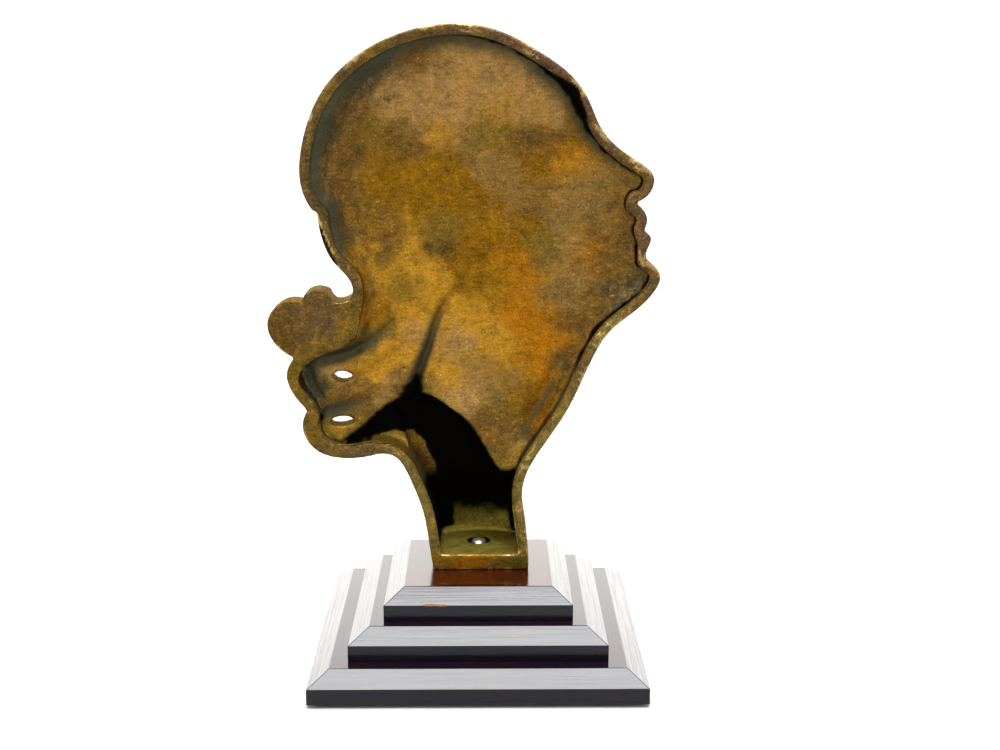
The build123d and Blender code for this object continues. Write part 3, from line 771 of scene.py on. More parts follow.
@dataclass
class HeadCasting:
    """The bronze: the CAD casting remade as one even skin and worked over as its pattern was."""

    voxel: float = 0.72 * MM
    rim_plane: float = -8.0
    bolt_place: float = 7.0
    dome_radius: float = 186.0
    dome_low: float = 62.0
    dome_high: float = 116.0
    floor_crest: float = 11.6
    front_crests: tuple[float, ...] = (15.0, 15.9, 17.4)
    burr_step: float = 2.6
    thinnest: float = 0.9
    groove_reach: float = 3.3
    groove_depth: float = 2.4
    outer_age: float = 0.75
    inner_age: float = 0.88
    front_age: float = 0.8
    strand: float = 0.85
    worn_edges: tuple[Touch, ...] = touches(
        (-50, 124, 12, 1.9), (-40, 148, 12, 1.8), (-16, 164, 10, 1.3), (31, 151, 10, 1.7),
        (-50, 60, 8, -0.4), (-17, 30, 10, -0.2),
    )
    steep_walls: tuple[Touch, ...] = touches(
        (-50, 124, 17, 0.62), (-42, 146, 15, 0.6), (-22, 161, 14, 0.5), (-47, 78, 11, 0.9),
        (-46, 100, 10, 0.75), (46, 84, 14, 0.25), (30, 52, 14, 0.3), (-50, 60, 6, -0.3),
    )
    back_marks: tuple[Mark, ...] = (
        Mark(PARTING, 1.0, 2.1, (0.1, 1.3), 1.3),
        Mark(((-6, 96), (-12, 88), (-16, 80), (-18.5, 72), (-23, 63)), 3.2, -1.6, (0.1, 1.0)),
        Mark(((3, 90), (-4, 82), (-8, 72), (-11, 62), (-12, 54)), 4.0, -0.9, (0.2, 1.0)),
        Mark(UPPER_LOCK, 1.1, 1.7, (0.0, 1.3), 1.4),
        Mark(((-27, 92), (-31, 84), (-38, 78), (-46, 75)), 2.8, -0.8, (0.4, 1.0)),
        Mark(((-20, 84), (-24.5, 75), (-32, 69), (-42, 65)), 2.4, -0.9, (0.3, 1.0)),
        Mark(((-22, 70), (-29, 64.5), (-38, 60)), 1.5, 0.5, (0.3, 0.8)),
        Mark(LOWER_LOCK, 1.3, 0.9, (0.2, 1.0), 1.3),
        Mark(((-24, 60), (-31, 59), (-39, 57), (-47, 57)), 2.2, -0.6, (1.0, 0.8)),
        Mark(((-55.4, 65.5), (-54.2, 61), (-52, 57), (-49, 52.5)), 0.8, -2.6),
        Mark(((-53.2, 64), (-51.6, 59), (-49.2, 54.5)), 1.1, 1.0),
        Mark(((14, 121.6), (19, 120.4), (23, 120.3), (27, 121)), 0.9, 0.4, (0.6, 1.0)),
        Mark(((14, 123.4), (20, 122.4), (27, 122.8)), 1.5, -0.25),
        Mark(((-45.5, 118), (-43, 130), (-36.5, 142), (-27, 150), (-15, 156)), 1.3, -0.55, (1.0, 0.6)),
        Mark(((-8, 100), (0, 97), (8, 99)), 2.2, 0.5),
        Mark(((-24, 128), (-12, 131), (-3, 128)), 3.0, 0.5),
        Mark(((-38, 128), (-35, 137), (-29, 143)), 1.8, 0.35),
        Mark(((4, 140), (12, 137), (18, 133)), 2.5, 0.7),
        Mark(((26, 108), (33, 104), (38, 98)), 3.0, 0.5),
        Mark(((0, 112), (8, 106), (10, 98)), 2.6, -0.4),
        Mark(((26, 66), (20, 54), (15, 42)), 2.2, 0.7),
    )
    pits: tuple[Touch, ...] = touches(
        (-27, 148, 0.9, 1.5), (-30.3, 151, 0.6, 0.7), (-32.4, 148.6, 0.6, 0.7), (-30.7, 145.6, 0.6, 0.7),
        (-42.7, 141, 0.7, 0.9), (-10.7, 159.1, 0.7, 0.8), (-12.2, 157.9, 0.6, 0.6), (-8.9, 158, 0.6, 0.6),
        (6, 74, 0.6, 0.5), (-24, 60, 0.6, 0.5), (30, 128, 0.6, 0.6), (38, 129, 0.6, 0.5),
        (12, 44, 0.7, 0.8), (-36, 120, 0.6, 0.4), (-18, 138, 0.6, 0.4), (12.6, 141, 0.8, 0.8),
    )
    face_touches: tuple[Touch, ...] = touches(
        (*on_face(-0.75, 1.15), 8, 1.3), (*on_face(-0.42, 1.72), 4.2, -1.5),
        (*on_face(-0.2, 2.5), 9, 0.7), (*on_face(-0.45, 0.25), 6, 0.8), (*on_face(-0.3, 0.42), 3, -0.5),
        (*on_face(-0.35, 0.95), 3.2, -0.5), (*on_face(-1.1, 0.7), 7, 0.6), (*on_face(-1.2, 1.7), 8, 0.3),
        (*on_face(-0.42, 1.72), 2.4, 0.9),
    )
    face_marks: tuple[Mark, ...] = (
        Mark((on_face(-0.02, 1.95), on_face(0.12, 1.5), on_face(0.22, 1.15)), 2.6, 1.3, (0.5, 1.0)),
        Mark((on_face(-0.05, 2.0), on_face(-0.35, 2.16), on_face(-0.75, 2.12), on_face(-1.0, 1.95)),
             1.3, 0.6, (1.0, 0.4)),
        Mark((on_face(-0.2, 1.68), on_face(-0.4, 1.86), on_face(-0.66, 1.78), on_face(-0.8, 1.64)),
             0.8, 0.6),
        Mark((on_face(-0.24, 1.58), on_face(-0.44, 1.5), on_face(-0.68, 1.58)), 0.8, 0.35),
        Mark((on_face(0.0, 0.78), on_face(-0.16, 0.8), on_face(-0.38, 0.68)), 1.1, 0.8, (1.0, 0.4)),
        Mark((on_face(-0.02, 0.52), on_face(-0.18, 0.53), on_face(-0.34, 0.6)), 1.2, 0.8, (1.0, 0.4)),
        Mark((on_face(0.02, 0.66), on_face(-0.2, 0.67), on_face(-0.44, 0.64)), 0.6, -0.9, (1.0, 0.5)),
        Mark((on_face(0.05, 1.02), on_face(-0.08, 1.08), on_face(-0.14, 1.22)), 0.9, 0.7),
    )
    interior: tuple[Patch, ...] = patches({
        Tone.TAN: (
            (-8, 152, 9), (5, 153, 9), (-24, 147, 6, 0.8), (18, 147, 6), (-20, 74, 3, 1.5),
            (-4, 73, 5, 1.1), (-4, 58, 6, 0.7), (-44, 63, 4, 0.8),
        ),
        Tone.GOLD: (
            (6, 145, 5, 0.5), (-12, 138, 4, 0.3), (28, 128, 5, 0.4), (-19, 107, 5, 0.5),
            (-36, 101, 4, 0.35), (-21, 98, 5, 0.25), (-34, 92, 5, 0.25), (-12, 92, 4, 0.5),
            (-20, 82, 4, 0.8), (-11, 84, 3, 0.5), (-37, 83, 4, 0.4), (-1, 81, 6, 0.8), (-21, 71, 4, 1.2),
            (-11, 75, 3, 0.25), (4, 70, 6, 0.9), (-8, 64, 4, 1.0), (-29, 67, 4, 1.2),
            (-36, 64.5, 3.5, 1.2),
        ),
        Tone.BROWN: (
            (-36, 147, 5), (-19, 163, 5, 1.0), (-40, 134, 5), (-22, 136, 5, 1.2), (14, 135, 5, 0.7),
            (20, 135, 4), (-44, 124, 5), (-42, 113, 5, 0.8), (20, 117, 4, 0.7), (45, 116, 6, 0.9),
            (-28, 107, 5, 0.8), (42, 102, 6), (-38, 104, 4, 0.5), (38, 84, 5), (-43, 82, 4), (29, 80, 4),
            (27, 68, 4), (-37, 56, 4), (5, 45, 5), (-44, 56, 4, 1.2), (-48, 72, 4, 1.2),
            (-14, 30, 6, 0.8),
        ),
        # The slate patches, along the rim and in the curls' corner, are painted shade.
        Tone.SLATE: (
            (-39, 150, 4.5, 0.9), (-45, 138, 4, 1.2), (-30, 157, 4.5, 0.9), (-49, 126, 4.5, 1.2),
            (-46, 115, 3, 0.8), (45, 88, 5), (-52, 64, 4, 1.3), (-52, 56, 4, 1.0),
        ),
        # The first two umber patches, under the top right rim, are painted shadow.
        Tone.UMBER: ((22, 155, 4, 1.2), (36, 140, 4), (-11, 103, 4, 0.8)),
        Tone.OLIVE: (
            (-30, 137, 5), (3, 137, 4.5), (-12, 108, 5), (21, 103, 4), (-37, 73, 3, 0.9), (8, 52, 4),
            (18, 40, 4), (-46, 44, 5), (-34, 40, 5, 1.2),
        ),
        Tone.ROSE: (
            (-4, 138, 4, 0.7), (4, 128, 5), (12, 119, 5), (29, 118, 6), (38, 120, 6), (28, 106, 6),
            (28, 92, 6, 0.8), (4, 60, 6, 0.8), (-28, 58, 4, 0.8), (13, 44, 4, 0.7),
        ),
        Tone.ORANGE: (
            (29, 130, 5, 0.4), (34, 101, 5, 0.5), (10, 100, 5, 0.5), (12, 92, 5, 0.5), (10, 82, 5, 0.9),
            (19, 76, 7, 1.2), (18, 66, 5, 0.8), (20, 48, 3, 0.5),
        ),
        Tone.OCHRE: (
            (33, 138, 5), (16, 127, 5), (-26, 126, 7, 1.2), (-17, 120, 8, 1.2), (-5, 121, 6),
            (8, 110, 7, 1.2), (-3, 101, 5), (-4, 92, 4), (6, 91, 5, 1.0), (-36, 84, 5), (16, 54, 5),
        ),
        Tone.STRAW: ((-37, 75, 3, 0.7),),
        Tone.MOSS: ((0, 8, 10, 1.6),),
    })
    rim_tones: tuple[Patch, ...] = patches({
        Tone.DUN: (
            (-46, 130, 22), (-20, 166, 20), (50, 126, 14), (52, 94, 10), (34, 64, 8), (-40, 38, 10),
            (-52, 82, 6, 0.8), (-46, 96, 6),
        ),
        Tone.PLUM: ((12, 164, 16), (34, 146, 16), (54, 108, 10, 0.8)),
        Tone.STRAW: (
            (42, 76, 8), (26, 50, 10), (16, 24, 14), (-17, 30, 12), (-50, 150, 8, 0.7), (-14, 10, 6),
            (0, 171, 6, 0.7),
        ),
        Tone.OLIVE: ((-54, 46, 8), (-58, 62, 7), (10, 2, 6, 1.2)),
        Tone.BROWN: ((-60, 82, 9),),
        Tone.UMBER: ((-58, 74, 4, 0.5),),
        Tone.ORANGE: ((-2, 1, 7, 0.8),),
        Tone.OCHRE: ((-11, 2, 4),),
        Tone.GOLD: ((-30, 160, 5, 0.4),),
    })
    hair_tones: tuple[Patch, ...] = patches({
        Tone.BROWN: ((-30, 120, 30), (24, 88, 8, 0.6)),
        Tone.OLIVE: ((-40, 80, 16), (0, 10, 14)),
        Tone.OCHRE: ((-10, 150, 14, 0.8),),
        Tone.GOLD: ((20, 112, 14, 0.5),),
        Tone.ROSE: ((10, 70, 20),),
        Tone.ORANGE: ((4, 40, 16, 0.6),),
        Tone.TAN: ((34, 104, 9, 0.4),),
    })
    # Painted shade beside the grooves: each line, its reach, its strength and how much wider it is on the
    # left.
    groove_shades: tuple[tuple[tuple[Spot, ...], float, float, float], ...] = (
        (PARTING, 2.8, 1.35, 0.7), (UPPER_LOCK, 2.0, 1.45, 1.7), (LOWER_LOCK, 1.8, 1.2, 1.3),
    )

    def build(self) -> Piece:
        """Makes the casting's skin, works it and stores its tones.

        Returns:
            The finished piece.
        """
        self.foot_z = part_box("mascot_casting")[0].z / MM
        piece = copy_of_node("mascot_casting", "bronze_casting")
        piece.data.remesh_voxel_size = self.voxel
        piece.data.remesh_voxel_adaptivity = 0.0
        piece.data.use_remesh_preserve_attributes = False
        pick_only(piece)
        bpy.ops.object.voxel_remesh()
        self._work(piece)
        bpy.ops.object.shade_smooth()
        dress(piece, BronzePatina().material())
        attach(piece, "mascot")
        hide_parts("mascot_casting")
        return piece

    def _drawing(self, points: Array) -> tuple[Array, Array, Array]:
        """The points across and up the drawing, and their depth behind the rim, in millimetres."""
        return points[:, 0] / MM, points[:, 2] / MM - self.foot_z, points[:, 1] / MM - self.rim_plane

    def _work(self, piece: Piece) -> None:
        """Sculpts the back and the front, then stores tones, recesses and painted shade.

        Args:
            piece: the casting's even skin.
        """
        points = points_of(piece)
        normals = normals_of(piece)
        x, v, depth = self._drawing(points)
        depth = self._even_domes(piece, x, v, depth, normals)
        self.inside = self._inside(x, v, depth, normals)
        points[:, 1] = (depth + self.rim_plane) * MM
        points = self._even_grooves(piece, points, x, v)
        piece.data.vertices.foreach_set("co", points.ravel())
        piece.data.update()
        normals = normals_of(piece)
        x, v, depth = self._drawing(points)
        self.wall = spread(piece, self._distance_to_rim(x, v, depth, normals), 2)
        floor = self.inside * smooth_step(-normals[:, 1], 0.25, 0.6) * smooth_step(v, 5.6, 7.0)
        self.floor = floor
        self.worn_rim = self._worn_rim(x, v, depth, normals)
        fill = np.clip(0.12 + sum(t.over(x, v) for t in self.steep_walls), 0, 0.92)
        depth = depth * (1 - self.inside * smooth_step(v, 20, 34) * self._wall_fillet(x, v, fill))
        depth = depth + self.worn_rim * (1 - fill) * 1.5
        front = smooth_step(normals[:, 1], 0.15, 0.5)
        skin = self._front_depth(x, v, depth, normals)
        depth = np.where(floor > 0, np.minimum(depth + floor * self._back_relief(x, v), skin), depth)
        depth = depth + front * self._front_relief(x, v)
        depth = depth + self._burr_zone(x, v, depth, normals) * self.burr_step
        points[:, 1] = (depth + self.rim_plane) * MM
        points = self._soften(piece, points, depth)
        points[:, 2] = np.maximum(points[:, 2], self.foot_z * MM)
        piece.data.vertices.foreach_set("co", points.ravel())
        piece.data.update()
        self._store_tones(piece)

    def _even_domes(self, piece: Piece, x: Array, v: Array, depth: Array,
                    normals: Array) -> Array:
        """Takes the flats out of the domed surfaces.

        Args:
            piece: the casting.
            x: across the drawing.
            v: up the drawing.
            depth: behind the rim.
            normals: at the points.

        Returns:
            The depth, on the true domes where it was near one, and evened elsewhere.
        """
        beyond = np.maximum(v - self.dome_high, 0) + np.maximum(self.dome_low - v, 0)
        drop = self.dome_radius - np.sqrt(self.dome_radius**2 - x**2 - beyond**2)
        for crest, facing in [(self.floor_crest, -1), *((c, 1) for c in self.front_crests)]:
            near = smooth_step(np.abs(depth - (crest - drop)), 0.35, 0.15) * (normals[:, 1] * facing > 0.8)
            depth = depth + near * (crest - drop - depth)
        for line in GROOVES:
            distance, _, _ = Stroke(*line).measure(x, v)
            floor = self.floor_crest - drop
            cut = (distance < self.groove_reach) & (normals[:, 1] < 0.3)
            cut = cut & (depth > floor - 0.3) & (depth < floor + self.groove_depth)
            depth = np.where(cut, floor, depth)
        blurred = spread(piece, depth, 40)
        even = smooth_step(np.abs(depth - blurred), 0.25, 0.1) * (np.abs(normals[:, 1]) > 0.6)
        return depth * (1 - even) + blurred * even

    def _even_grooves(self, piece: Piece, points: Array, x: Array, v: Array) -> Array:
        """Spaces the floor's points evenly again where the plain grooves were filled.

        Args:
            piece: the casting.
            points: its points.
            x: across the drawing.
            v: up the drawing.

        Returns:
            The points, moved only across the drawing.
        """
        near = np.zeros_like(x)
        for line in GROOVES:
            near = np.maximum(near, smooth_step(Stroke(*line).measure(x, v)[0], 5.0, 3.6))
        near = (near * self.inside)[:, None]
        return points * (1 - near) + spread(piece, points, 14) * near

    def _inside(self, x: Array, v: Array, depth: Array, normals: Array) -> Array:
        """Marks the hollow's floor and its walls with 1, and everything else with 0."""
        floor = (normals[:, 1] < -0.5) & (depth > 1.5)
        column, row = self._square(x, v, 0.8)
        reach = 2
        ground = np.zeros((260, 280), bool)
        ground[column[floor], row[floor]] = True
        grown = np.zeros_like(ground)
        for right in range(-reach, reach + 1):
            for up in range(-reach, reach + 1):
                grown |= np.roll(ground, (right, up), (0, 1))
        return (grown[column, row] & (normals[:, 1] < 0.3) & (depth > 0.05)).astype(float)

    def _distance_to_rim(self, x: Array, v: Array, depth: Array, normals: Array) -> Array:
        """Distance across the drawing from each point to the flat rim, in millimetres."""
        tree = self._finder(x, v, (depth < 0.4) & (normals[:, 1] < -0.8))
        return np.array([tree.find((a, b, 0))[2] for a, b in zip(x, v)])

    @staticmethod
    def _finder(x: Array, v: Array, chosen: Array) -> KDTree:
        """A tree over the drawing that finds the nearest of the chosen points.

        Args:
            x: across the drawing.
            v: up the drawing.
            chosen: True at the points to find.

        Returns:
            The tree.
        """
        indices = np.flatnonzero(chosen)
        tree = KDTree(len(indices))
        for index in indices:
            tree.insert((x[index], v[index], 0), int(index))
        tree.balance()
        return tree

    @staticmethod
    def _square(x: Array, v: Array, size: float) -> tuple[Array, Array]:
        """The column and the row of each point in a net of squares of one size over the drawing."""
        return ((x + 100) / size).astype(int), ((v + 20) / size).astype(int)

    def _front_depth(self, x: Array, v: Array, depth: Array, normals: Array) -> Array:
        """The deepest the hollow may go at each point, which leaves the thinnest wall under the front."""
        column, row = self._square(x, v, 1.0)
        nearest = np.full((210, 230), 99.0)
        on_front = (normals[:, 1] > 0.5) & (depth > 10)
        np.minimum.at(nearest, (column[on_front], row[on_front]), depth[on_front])
        around = [np.roll(nearest, (right, up), (0, 1)) for right in (-1, 0, 1) for up in (-1, 0, 1)]
        return np.where(v < 12, 99.0, np.minimum.reduce(around)[column, row] - self.thinnest)

    def _worn_rim(self, x: Array, v: Array, depth: Array, normals: Array) -> Array:
        """Where the rim is worn back along the hollow.

        Args:
            x: across the drawing.
            v: up the drawing.
            depth: behind the rim.
            normals: at the points.

        Returns:
            The wear, 0 to 1.
        """
        tree = self._finder(x, v, (self.inside > 0.5) & (depth > 0.3))
        worn = sum(t.over(x, v) for t in self.worn_edges)
        reach = 0.7 + self._hand(x, v, 7, 0.9) + self._hand(x, v, 2.2, 0.4) + worn
        on_rim = (depth < 0.6) & (normals[:, 1] < -0.4) & (v > 6.5) & (x > -55)
        change = np.zeros_like(depth)
        for index in np.flatnonzero(on_rim):
            away = tree.find((x[index], v[index], 0))[2]
            if away < reach[index]:
                change[index] = 1.0 - away / reach[index]
        return np.minimum(change * 1.8, 1.0)

    def _wall_fillet(self, x: Array, v: Array, fill: Array) -> Array:
        """How far the hollow is filled towards the rim, 0 to 1: a slope that is broad behind the crown."""
        reach = 2.0 + 6.0 * fill + self._hand(x, v, 9, 1.0)
        t = np.clip(self.wall / reach, 0, 1)
        return fill * (1 - t * t * (3 - 2 * t))

    def _back_relief(self, x: Array, v: Array) -> Array:
        """Depth added over the hollow's floor, in millimetres: negative is nearer the rim.

        Args:
            x: across the drawing.
            v: up the drawing.

        Returns:
            The change of depth.
        """
        change = sum(mark.over(x, v) for mark in self.back_marks) + sum(pit.over(x, v) for pit in self.pits)
        lip, side, _ = Stroke(*POCKET_LIP).measure(x, v)
        ragged = lip + self._hand(x, v, 1.6, 0.5)
        change -= np.where(side > 0, 1.6 * np.exp(-(lip / 6.0) ** 2), 0)
        sunk = (0.3 + 1.5 * smooth_step(v, 28, 44)) * smooth_step(ragged, 0.0, 1.2)
        change += np.where((side < 0) & (v < 58) & (x > -42), sunk, 0)
        scraped = self._hand(x * 0.5, v, 5, 0.3) + self._hand(x + 31, v - 7, 2.2, 0.14)
        return change + self._hand(x, v, 15, 0.7) + scraped

    def _front_relief(self, x: Array, v: Array) -> Array:
        """Depth added over the front: the face's planes and the combed hair, in millimetres.

        Args:
            x: across the drawing.
            v: up the drawing.

        Returns:
            The change of depth, positive outwards.
        """
        change = sum(t.over(x, v) for t in self.face_touches) + sum(m.over(x, v) for m in self.face_marks)
        hair, radius = self._combing(x, v)
        change += hair * 0.34 * (np.abs(np.sin(pi * radius / 3.1)) - 0.5)
        return change + self._hand(x, v + 50, 12, 0.25) * (1 - hair)

    def _combing(self, x: Array, v: Array) -> tuple[Array, Array]:
        """Where the hair lies on the front, 0 to 1, and how far across its locks, in millimetres."""
        hairline, side, _ = Stroke(*HAIRLINE).measure(x, v)
        hair = np.where(side < 0, smooth_step(hairline, 0.4, 2.5), 0) * smooth_step(v, 36, 44)
        return hair, np.hypot(x - 5, v - 110) - 0.8 * np.clip(100 - v, 0, 60) + self._hand(x, v, 22, 2.5)

    def _burr_zone(self, x: Array, v: Array, depth: Array, normals: Array) -> Array:
        """Marks with 1 the rim outside the nape's burr, where the metal steps down to the front layer."""
        line, side, along = Stroke(*BURR).measure(x, v)
        outside = (side < 0) & (x < -38) & (v > 90) & (v < 114.5)
        facing = normals[:, 1] < -0.3
        stepped = smooth_step(line, 0.1, 0.6) * smooth_step(v, 91, 95)
        return np.where(outside & facing & (depth < 1.5), stepped, 0)

    @staticmethod
    def _hand(x: Array, v: Array, size: float, height: float) -> Array:
        """The unevenness of a hand-worked surface.

        Args:
            x: across the drawing.
            v: up the drawing.
            size: of its waves, in millimetres.
            height: of its waves, in millimetres.

        Returns:
            The height at each point.
        """
        layer = 0.37 * size
        return np.array([noise.noise(Vector((a / size, b / size, layer))) for a, b in zip(x, v)]) * height

    def _soften(self, piece: Piece, points: Array, depth: Array) -> Array:
        """Rounds the skin as a sand mould leaves it, and makes its rim a little uneven.

        Args:
            piece: the casting.
            points: its points.
            depth: their depth behind the rim.

        Returns:
            The rounded points.
        """
        smoothed = spread(piece, points, 2)
        share = (0.75 - 0.35 * smooth_step(depth, 1.0, 3.0))[:, None]
        rounded = points * (1 - share) + smoothed * share
        x, v = rounded[:, 0] / MM, rounded[:, 2] / MM - self.foot_z
        on_rim = smooth_step(depth, 1.2, 0.3) * smooth_step(v, 6, 10)
        uneven = self._hand(x, v, 7, 0.22) + self._hand(x, v, 2.0, 0.12) + 0.12
        rounded[:, 1] += on_rim * uneven * MM
        return rounded

    def _store_tones(self, piece: Piece) -> None:
        """Stores what the patina and its painted shade are made from, point by point.

        Args:
            piece: the casting.
        """
        points, normals = points_of(piece), normals_of(piece)
        x, v, depth = self._drawing(points)
        bulge = ((points - spread(piece, points, 3)) * normals).sum(1) / MM
        cavity = depth - spread(piece, depth, 30)
        facing = smooth_step(-normals[:, 1], 0.3, 0.7)
        front = smooth_step(normals[:, 1], 0.0, 0.4)
        burr = self._burr_zone(x, v, np.zeros_like(x), normals)
        rim = facing * smooth_step(depth, 1.1, 0.35) * (1 - burr) * (1 - 0.85 * self.worn_rim)
        hair, radius = self._combing(x, v)
        store(piece, "strand", radius / self.strand)
        store(piece, "comb", hair * front)
        tint = self._bronze_tint(x, v, rim, front)
        attribute = piece.data.attributes.new("tint", "FLOAT_COLOR", "POINT")
        opaque = np.hstack([tint, np.ones((len(x), 1))])
        attribute.data.foreach_set("color", opaque.astype(np.float32).ravel())
        store(piece, "rim", rim)
        store(piece, "recess_patina_and_shade", np.clip(self._recess_patina_and_shade(x, v, depth, cavity, front) + burr * 0.9, 0, 1))
        store(piece, "wear", self._wear(x, v, depth, normals, bulge, front))
        store(piece, "black_shade", self._black_shade(x, v, depth, normals))

    def _recess_patina_and_shade(self, x: Array, v: Array, depth: Array, cavity: Array, front: Array) -> Array:
        """How far a point lies in a groove or a corner that holds dark patina, with painted shade on the
        hollow's walls, under the rim round the crown and beside the grooves.

        Args:
            x: across the drawing.
            v: up the drawing.
            depth: behind the rim.
            cavity: depth below the surface around it.
            front: 1 on the front.

        Returns:
            The recess and its painted shade, 0 to about 1.
        """
        recess_patina_and_shade = self.inside * smooth_step(cavity, 0.25, 1.5)
        recess_patina_and_shade = recess_patina_and_shade + (1 - self.inside) * front * smooth_step(-cavity, 0.1, 0.6)
        # Painted shade beside the grooves, wider on one side.
        for line, reach, strength, left in self.groove_shades:
            shade = Mark(line, reach, strength, (-0.35, 1.25), left).over(x, v)
            recess_patina_and_shade = np.maximum(recess_patina_and_shade, self.floor * np.clip(shade, 0, 1))
        # Painted shade on the hollow's walls.
        walls = self.inside * (1 - self.floor) * smooth_step(depth, 0.5, 2.0)
        recess_patina_and_shade = np.maximum(recess_patina_and_shade, walls * 0.8)
        # Painted shadow under the rim round the crown and high on the left side.
        crown = np.maximum(smooth_step(v, 120, 136), smooth_step(x, -36, -42) * smooth_step(v, 94, 106))
        reach = np.maximum(4.3 + self._hand(x, v, 8, 2.2) + self._hand(x, v, 2.5, 1.0), 0.8)
        recess_patina_and_shade = np.maximum(recess_patina_and_shade, self.inside * crown * np.exp(-(self.wall / reach) ** 2) * 0.97)
        recess_patina_and_shade = recess_patina_and_shade * (1 - Touch(-27, 41, 10, 0.8).over(x, v))
        foot = smooth_step(v, 14, 9) * (np.abs(x) < 14)
        return recess_patina_and_shade * (1 - foot)

    def _wear(self, x: Array, v: Array, depth: Array, normals: Array, bulge: Array, front: Array) -> Array:
        """How bright handling has kept the metal: on its edges, along the nape's burr and on the foot's lip.

        Args:
            x: across the drawing.
            v: up the drawing.
            depth: behind the rim.
            normals: at the points.
            bulge: how far a point stands out from its neighbours.
            front: 1 on the front.

        Returns:
            The wear, 0 to about 1.
        """
        edge = smooth_step(bulge, 0.035, 0.12)
        wear = edge * (0.55 + 0.45 * smooth_step(self._hand(x, v, 6, 1.0), 0.0, 0.35)) * (1 - front * 0.6)
        wear = wear * (1 - self.inside * smooth_step(depth, 1.0, 2.5))
        burr_line = Mark(BURR, 0.75, 1.0).over(x, v) * smooth_step(self._hand(x, v, 2.5, 1.0), -0.35, 0.1)
        burr_line = burr_line * smooth_step(depth, 2.4, 1.2) * smooth_step(-normals[:, 1], 0.1, 0.5)
        upper_edge = Mark(((-12.8, 5), (0, 5.3), (14.6, 5)), 0.42, 1.0).over(x, v)
        lower_edge = Mark(((-12.8, 0.3), (14.6, 0.3)), 0.4, 0.9).over(x, v)
        lip_edge = (upper_edge + lower_edge) * smooth_step(depth, 0.9, 0.2)
        lip_edge = lip_edge * (1 + self._hand(x, v, 1.8, 1.4))
        return np.maximum.reduce([wear * 0.7, burr_line * 1.1, lip_edge])

    def _bronze_tint(self, x: Array, v: Array, rim: Array, front: Array) -> Array:
        """The metal's own colour in the hollow, on the rim and sides, and on the front, with painted shade in
        the slate patches and in the umber patches under the top right rim.

        Args:
            x: across the drawing.
            v: up the drawing.
            rim: 1 on the rim.
            front: 1 on the front.

        Returns:
            One colour a point.
        """
        outer = self._tint(x, v, self.rim_tones) * self.outer_age
        back = self._tint(x, v, self.interior) * self.inner_age * (1 - rim[:, None]) + outer * rim[:, None]
        sides = (1 - self.inside) * (1 - rim) * (1 - front)
        back = back * (1 - sides[:, None]) + outer * sides[:, None] * 0.65
        hair_tint = self._tint(x, v, self.hair_tones) * self.front_age
        return back * (1 - front[:, None]) + hair_tint * front[:, None]

    def _tint(self, x: Array, v: Array, tones: tuple[Patch, ...]) -> Array:
        """Blends patches of tone.

        Args:
            x: across the drawing.
            v: up the drawing.
            tones: the patches.

        Returns:
            One colour a point.
        """
        ragged_x = x + self._hand(x, v, 6.5, 4.0) + self._hand(x, v, 2.6, 2.6)
        ragged_v = v + self._hand(x + 70, v, 6.5, 4.0) + self._hand(x + 70, v, 2.6, 2.6)
        total = np.full(len(x), 0.04)
        colour = total[:, None] * np.array(Tone.OLIVE.value)
        for patch in tones:
            share = patch.over(ragged_x, ragged_v) ** 1.1
            total = total + share
            colour = colour + share[:, None] * np.array(patch.tone.value)
        return colour / total[:, None]

    def _black_shade(self, x: Array, v: Array, depth: Array, normals: Array) -> Array:
        """How black the metal is painted: painted shade in the neck's pocket, under the rim and in the curls'
        corners, and a black ring round the bolt's hole.

        Args:
            x: across the drawing.
            v: up the drawing.
            depth: behind the rim.
            normals: at the points.

        Returns:
            The blackness, 0 to 1.
        """
        around_bolt = np.hypot(x, depth + self.rim_plane - self.bolt_place)
        socket = smooth_step(around_bolt, 4.1, 3.3) * (v < 7) * (normals[:, 2] > 0.0)
        crescent = Mark(CURL_CORNER, 1.2, 1.0).over(x, v)
        curl = crescent * smooth_step(depth, 0.8, 2.5) * self.inside
        pocket = self._pocket_black_shade(x, v, depth, normals)
        return np.clip(pocket + curl + socket + self._rim_shade(x, v, depth, normals), 0, 1)

    def _pocket_black_shade(self, x: Array, v: Array, depth: Array, normals: Array) -> Array:
        """The painted black shade of the neck's pocket, with the point where the parting runs into it.

        Args:
            x: across the drawing.
            v: up the drawing.
            depth: behind the rim.
            normals: at the points.

        Returns:
            The blackness, 0 to 1.
        """
        lip, side, _ = Stroke(*POCKET_LIP).measure(x, v)
        ragged = lip + self._hand(x, v, 1.4, 0.9)
        under_lip = (side < 0) & (v > 4.0) & (v < 58) & (x > -42)
        pocket = np.where(under_lip, smooth_step(ragged, -0.4, 1.0), 0)
        right_wall = smooth_step(-normals[:, 0], 0.3, 0.6) * smooth_step(x, 4, 8)
        corners = smooth_step(np.abs(x - 1) + self._hand(x, v, 3, 2.0), 6, 13) * smooth_step(v, 5.0, 9.0)
        rise = np.clip((v + self._hand(x, v, 4, 2.0) - 4.0) / 19.0, 0, 1)
        above_foot = np.maximum(rise, np.maximum(right_wall * smooth_step(v, 5, 6.5), corners))
        pocket = pocket * above_foot * smooth_step(depth, 1.0, 3.0)
        ledge, below, _ = Stroke(*POCKET_LEDGE).measure(x, v)
        kept = np.where(below > 0, 1.0, smooth_step(ledge + self._hand(x, v, 2.5, 0.8), 2.2, 0.3))
        pocket = pocket * self.inside * np.maximum(kept, smooth_step(v, 34, 20))
        junction = Touch(-21.0, 55.4, 4.8, 0.85).over(x, v)
        junction = junction + Mark(PARTING[-2:], 1.6, 0.7, (0.1, 1.3)).over(x, v)
        return np.maximum(pocket, self.floor * np.clip(junction + self._hand(x, v, 1.5, 0.25), 0, 1))

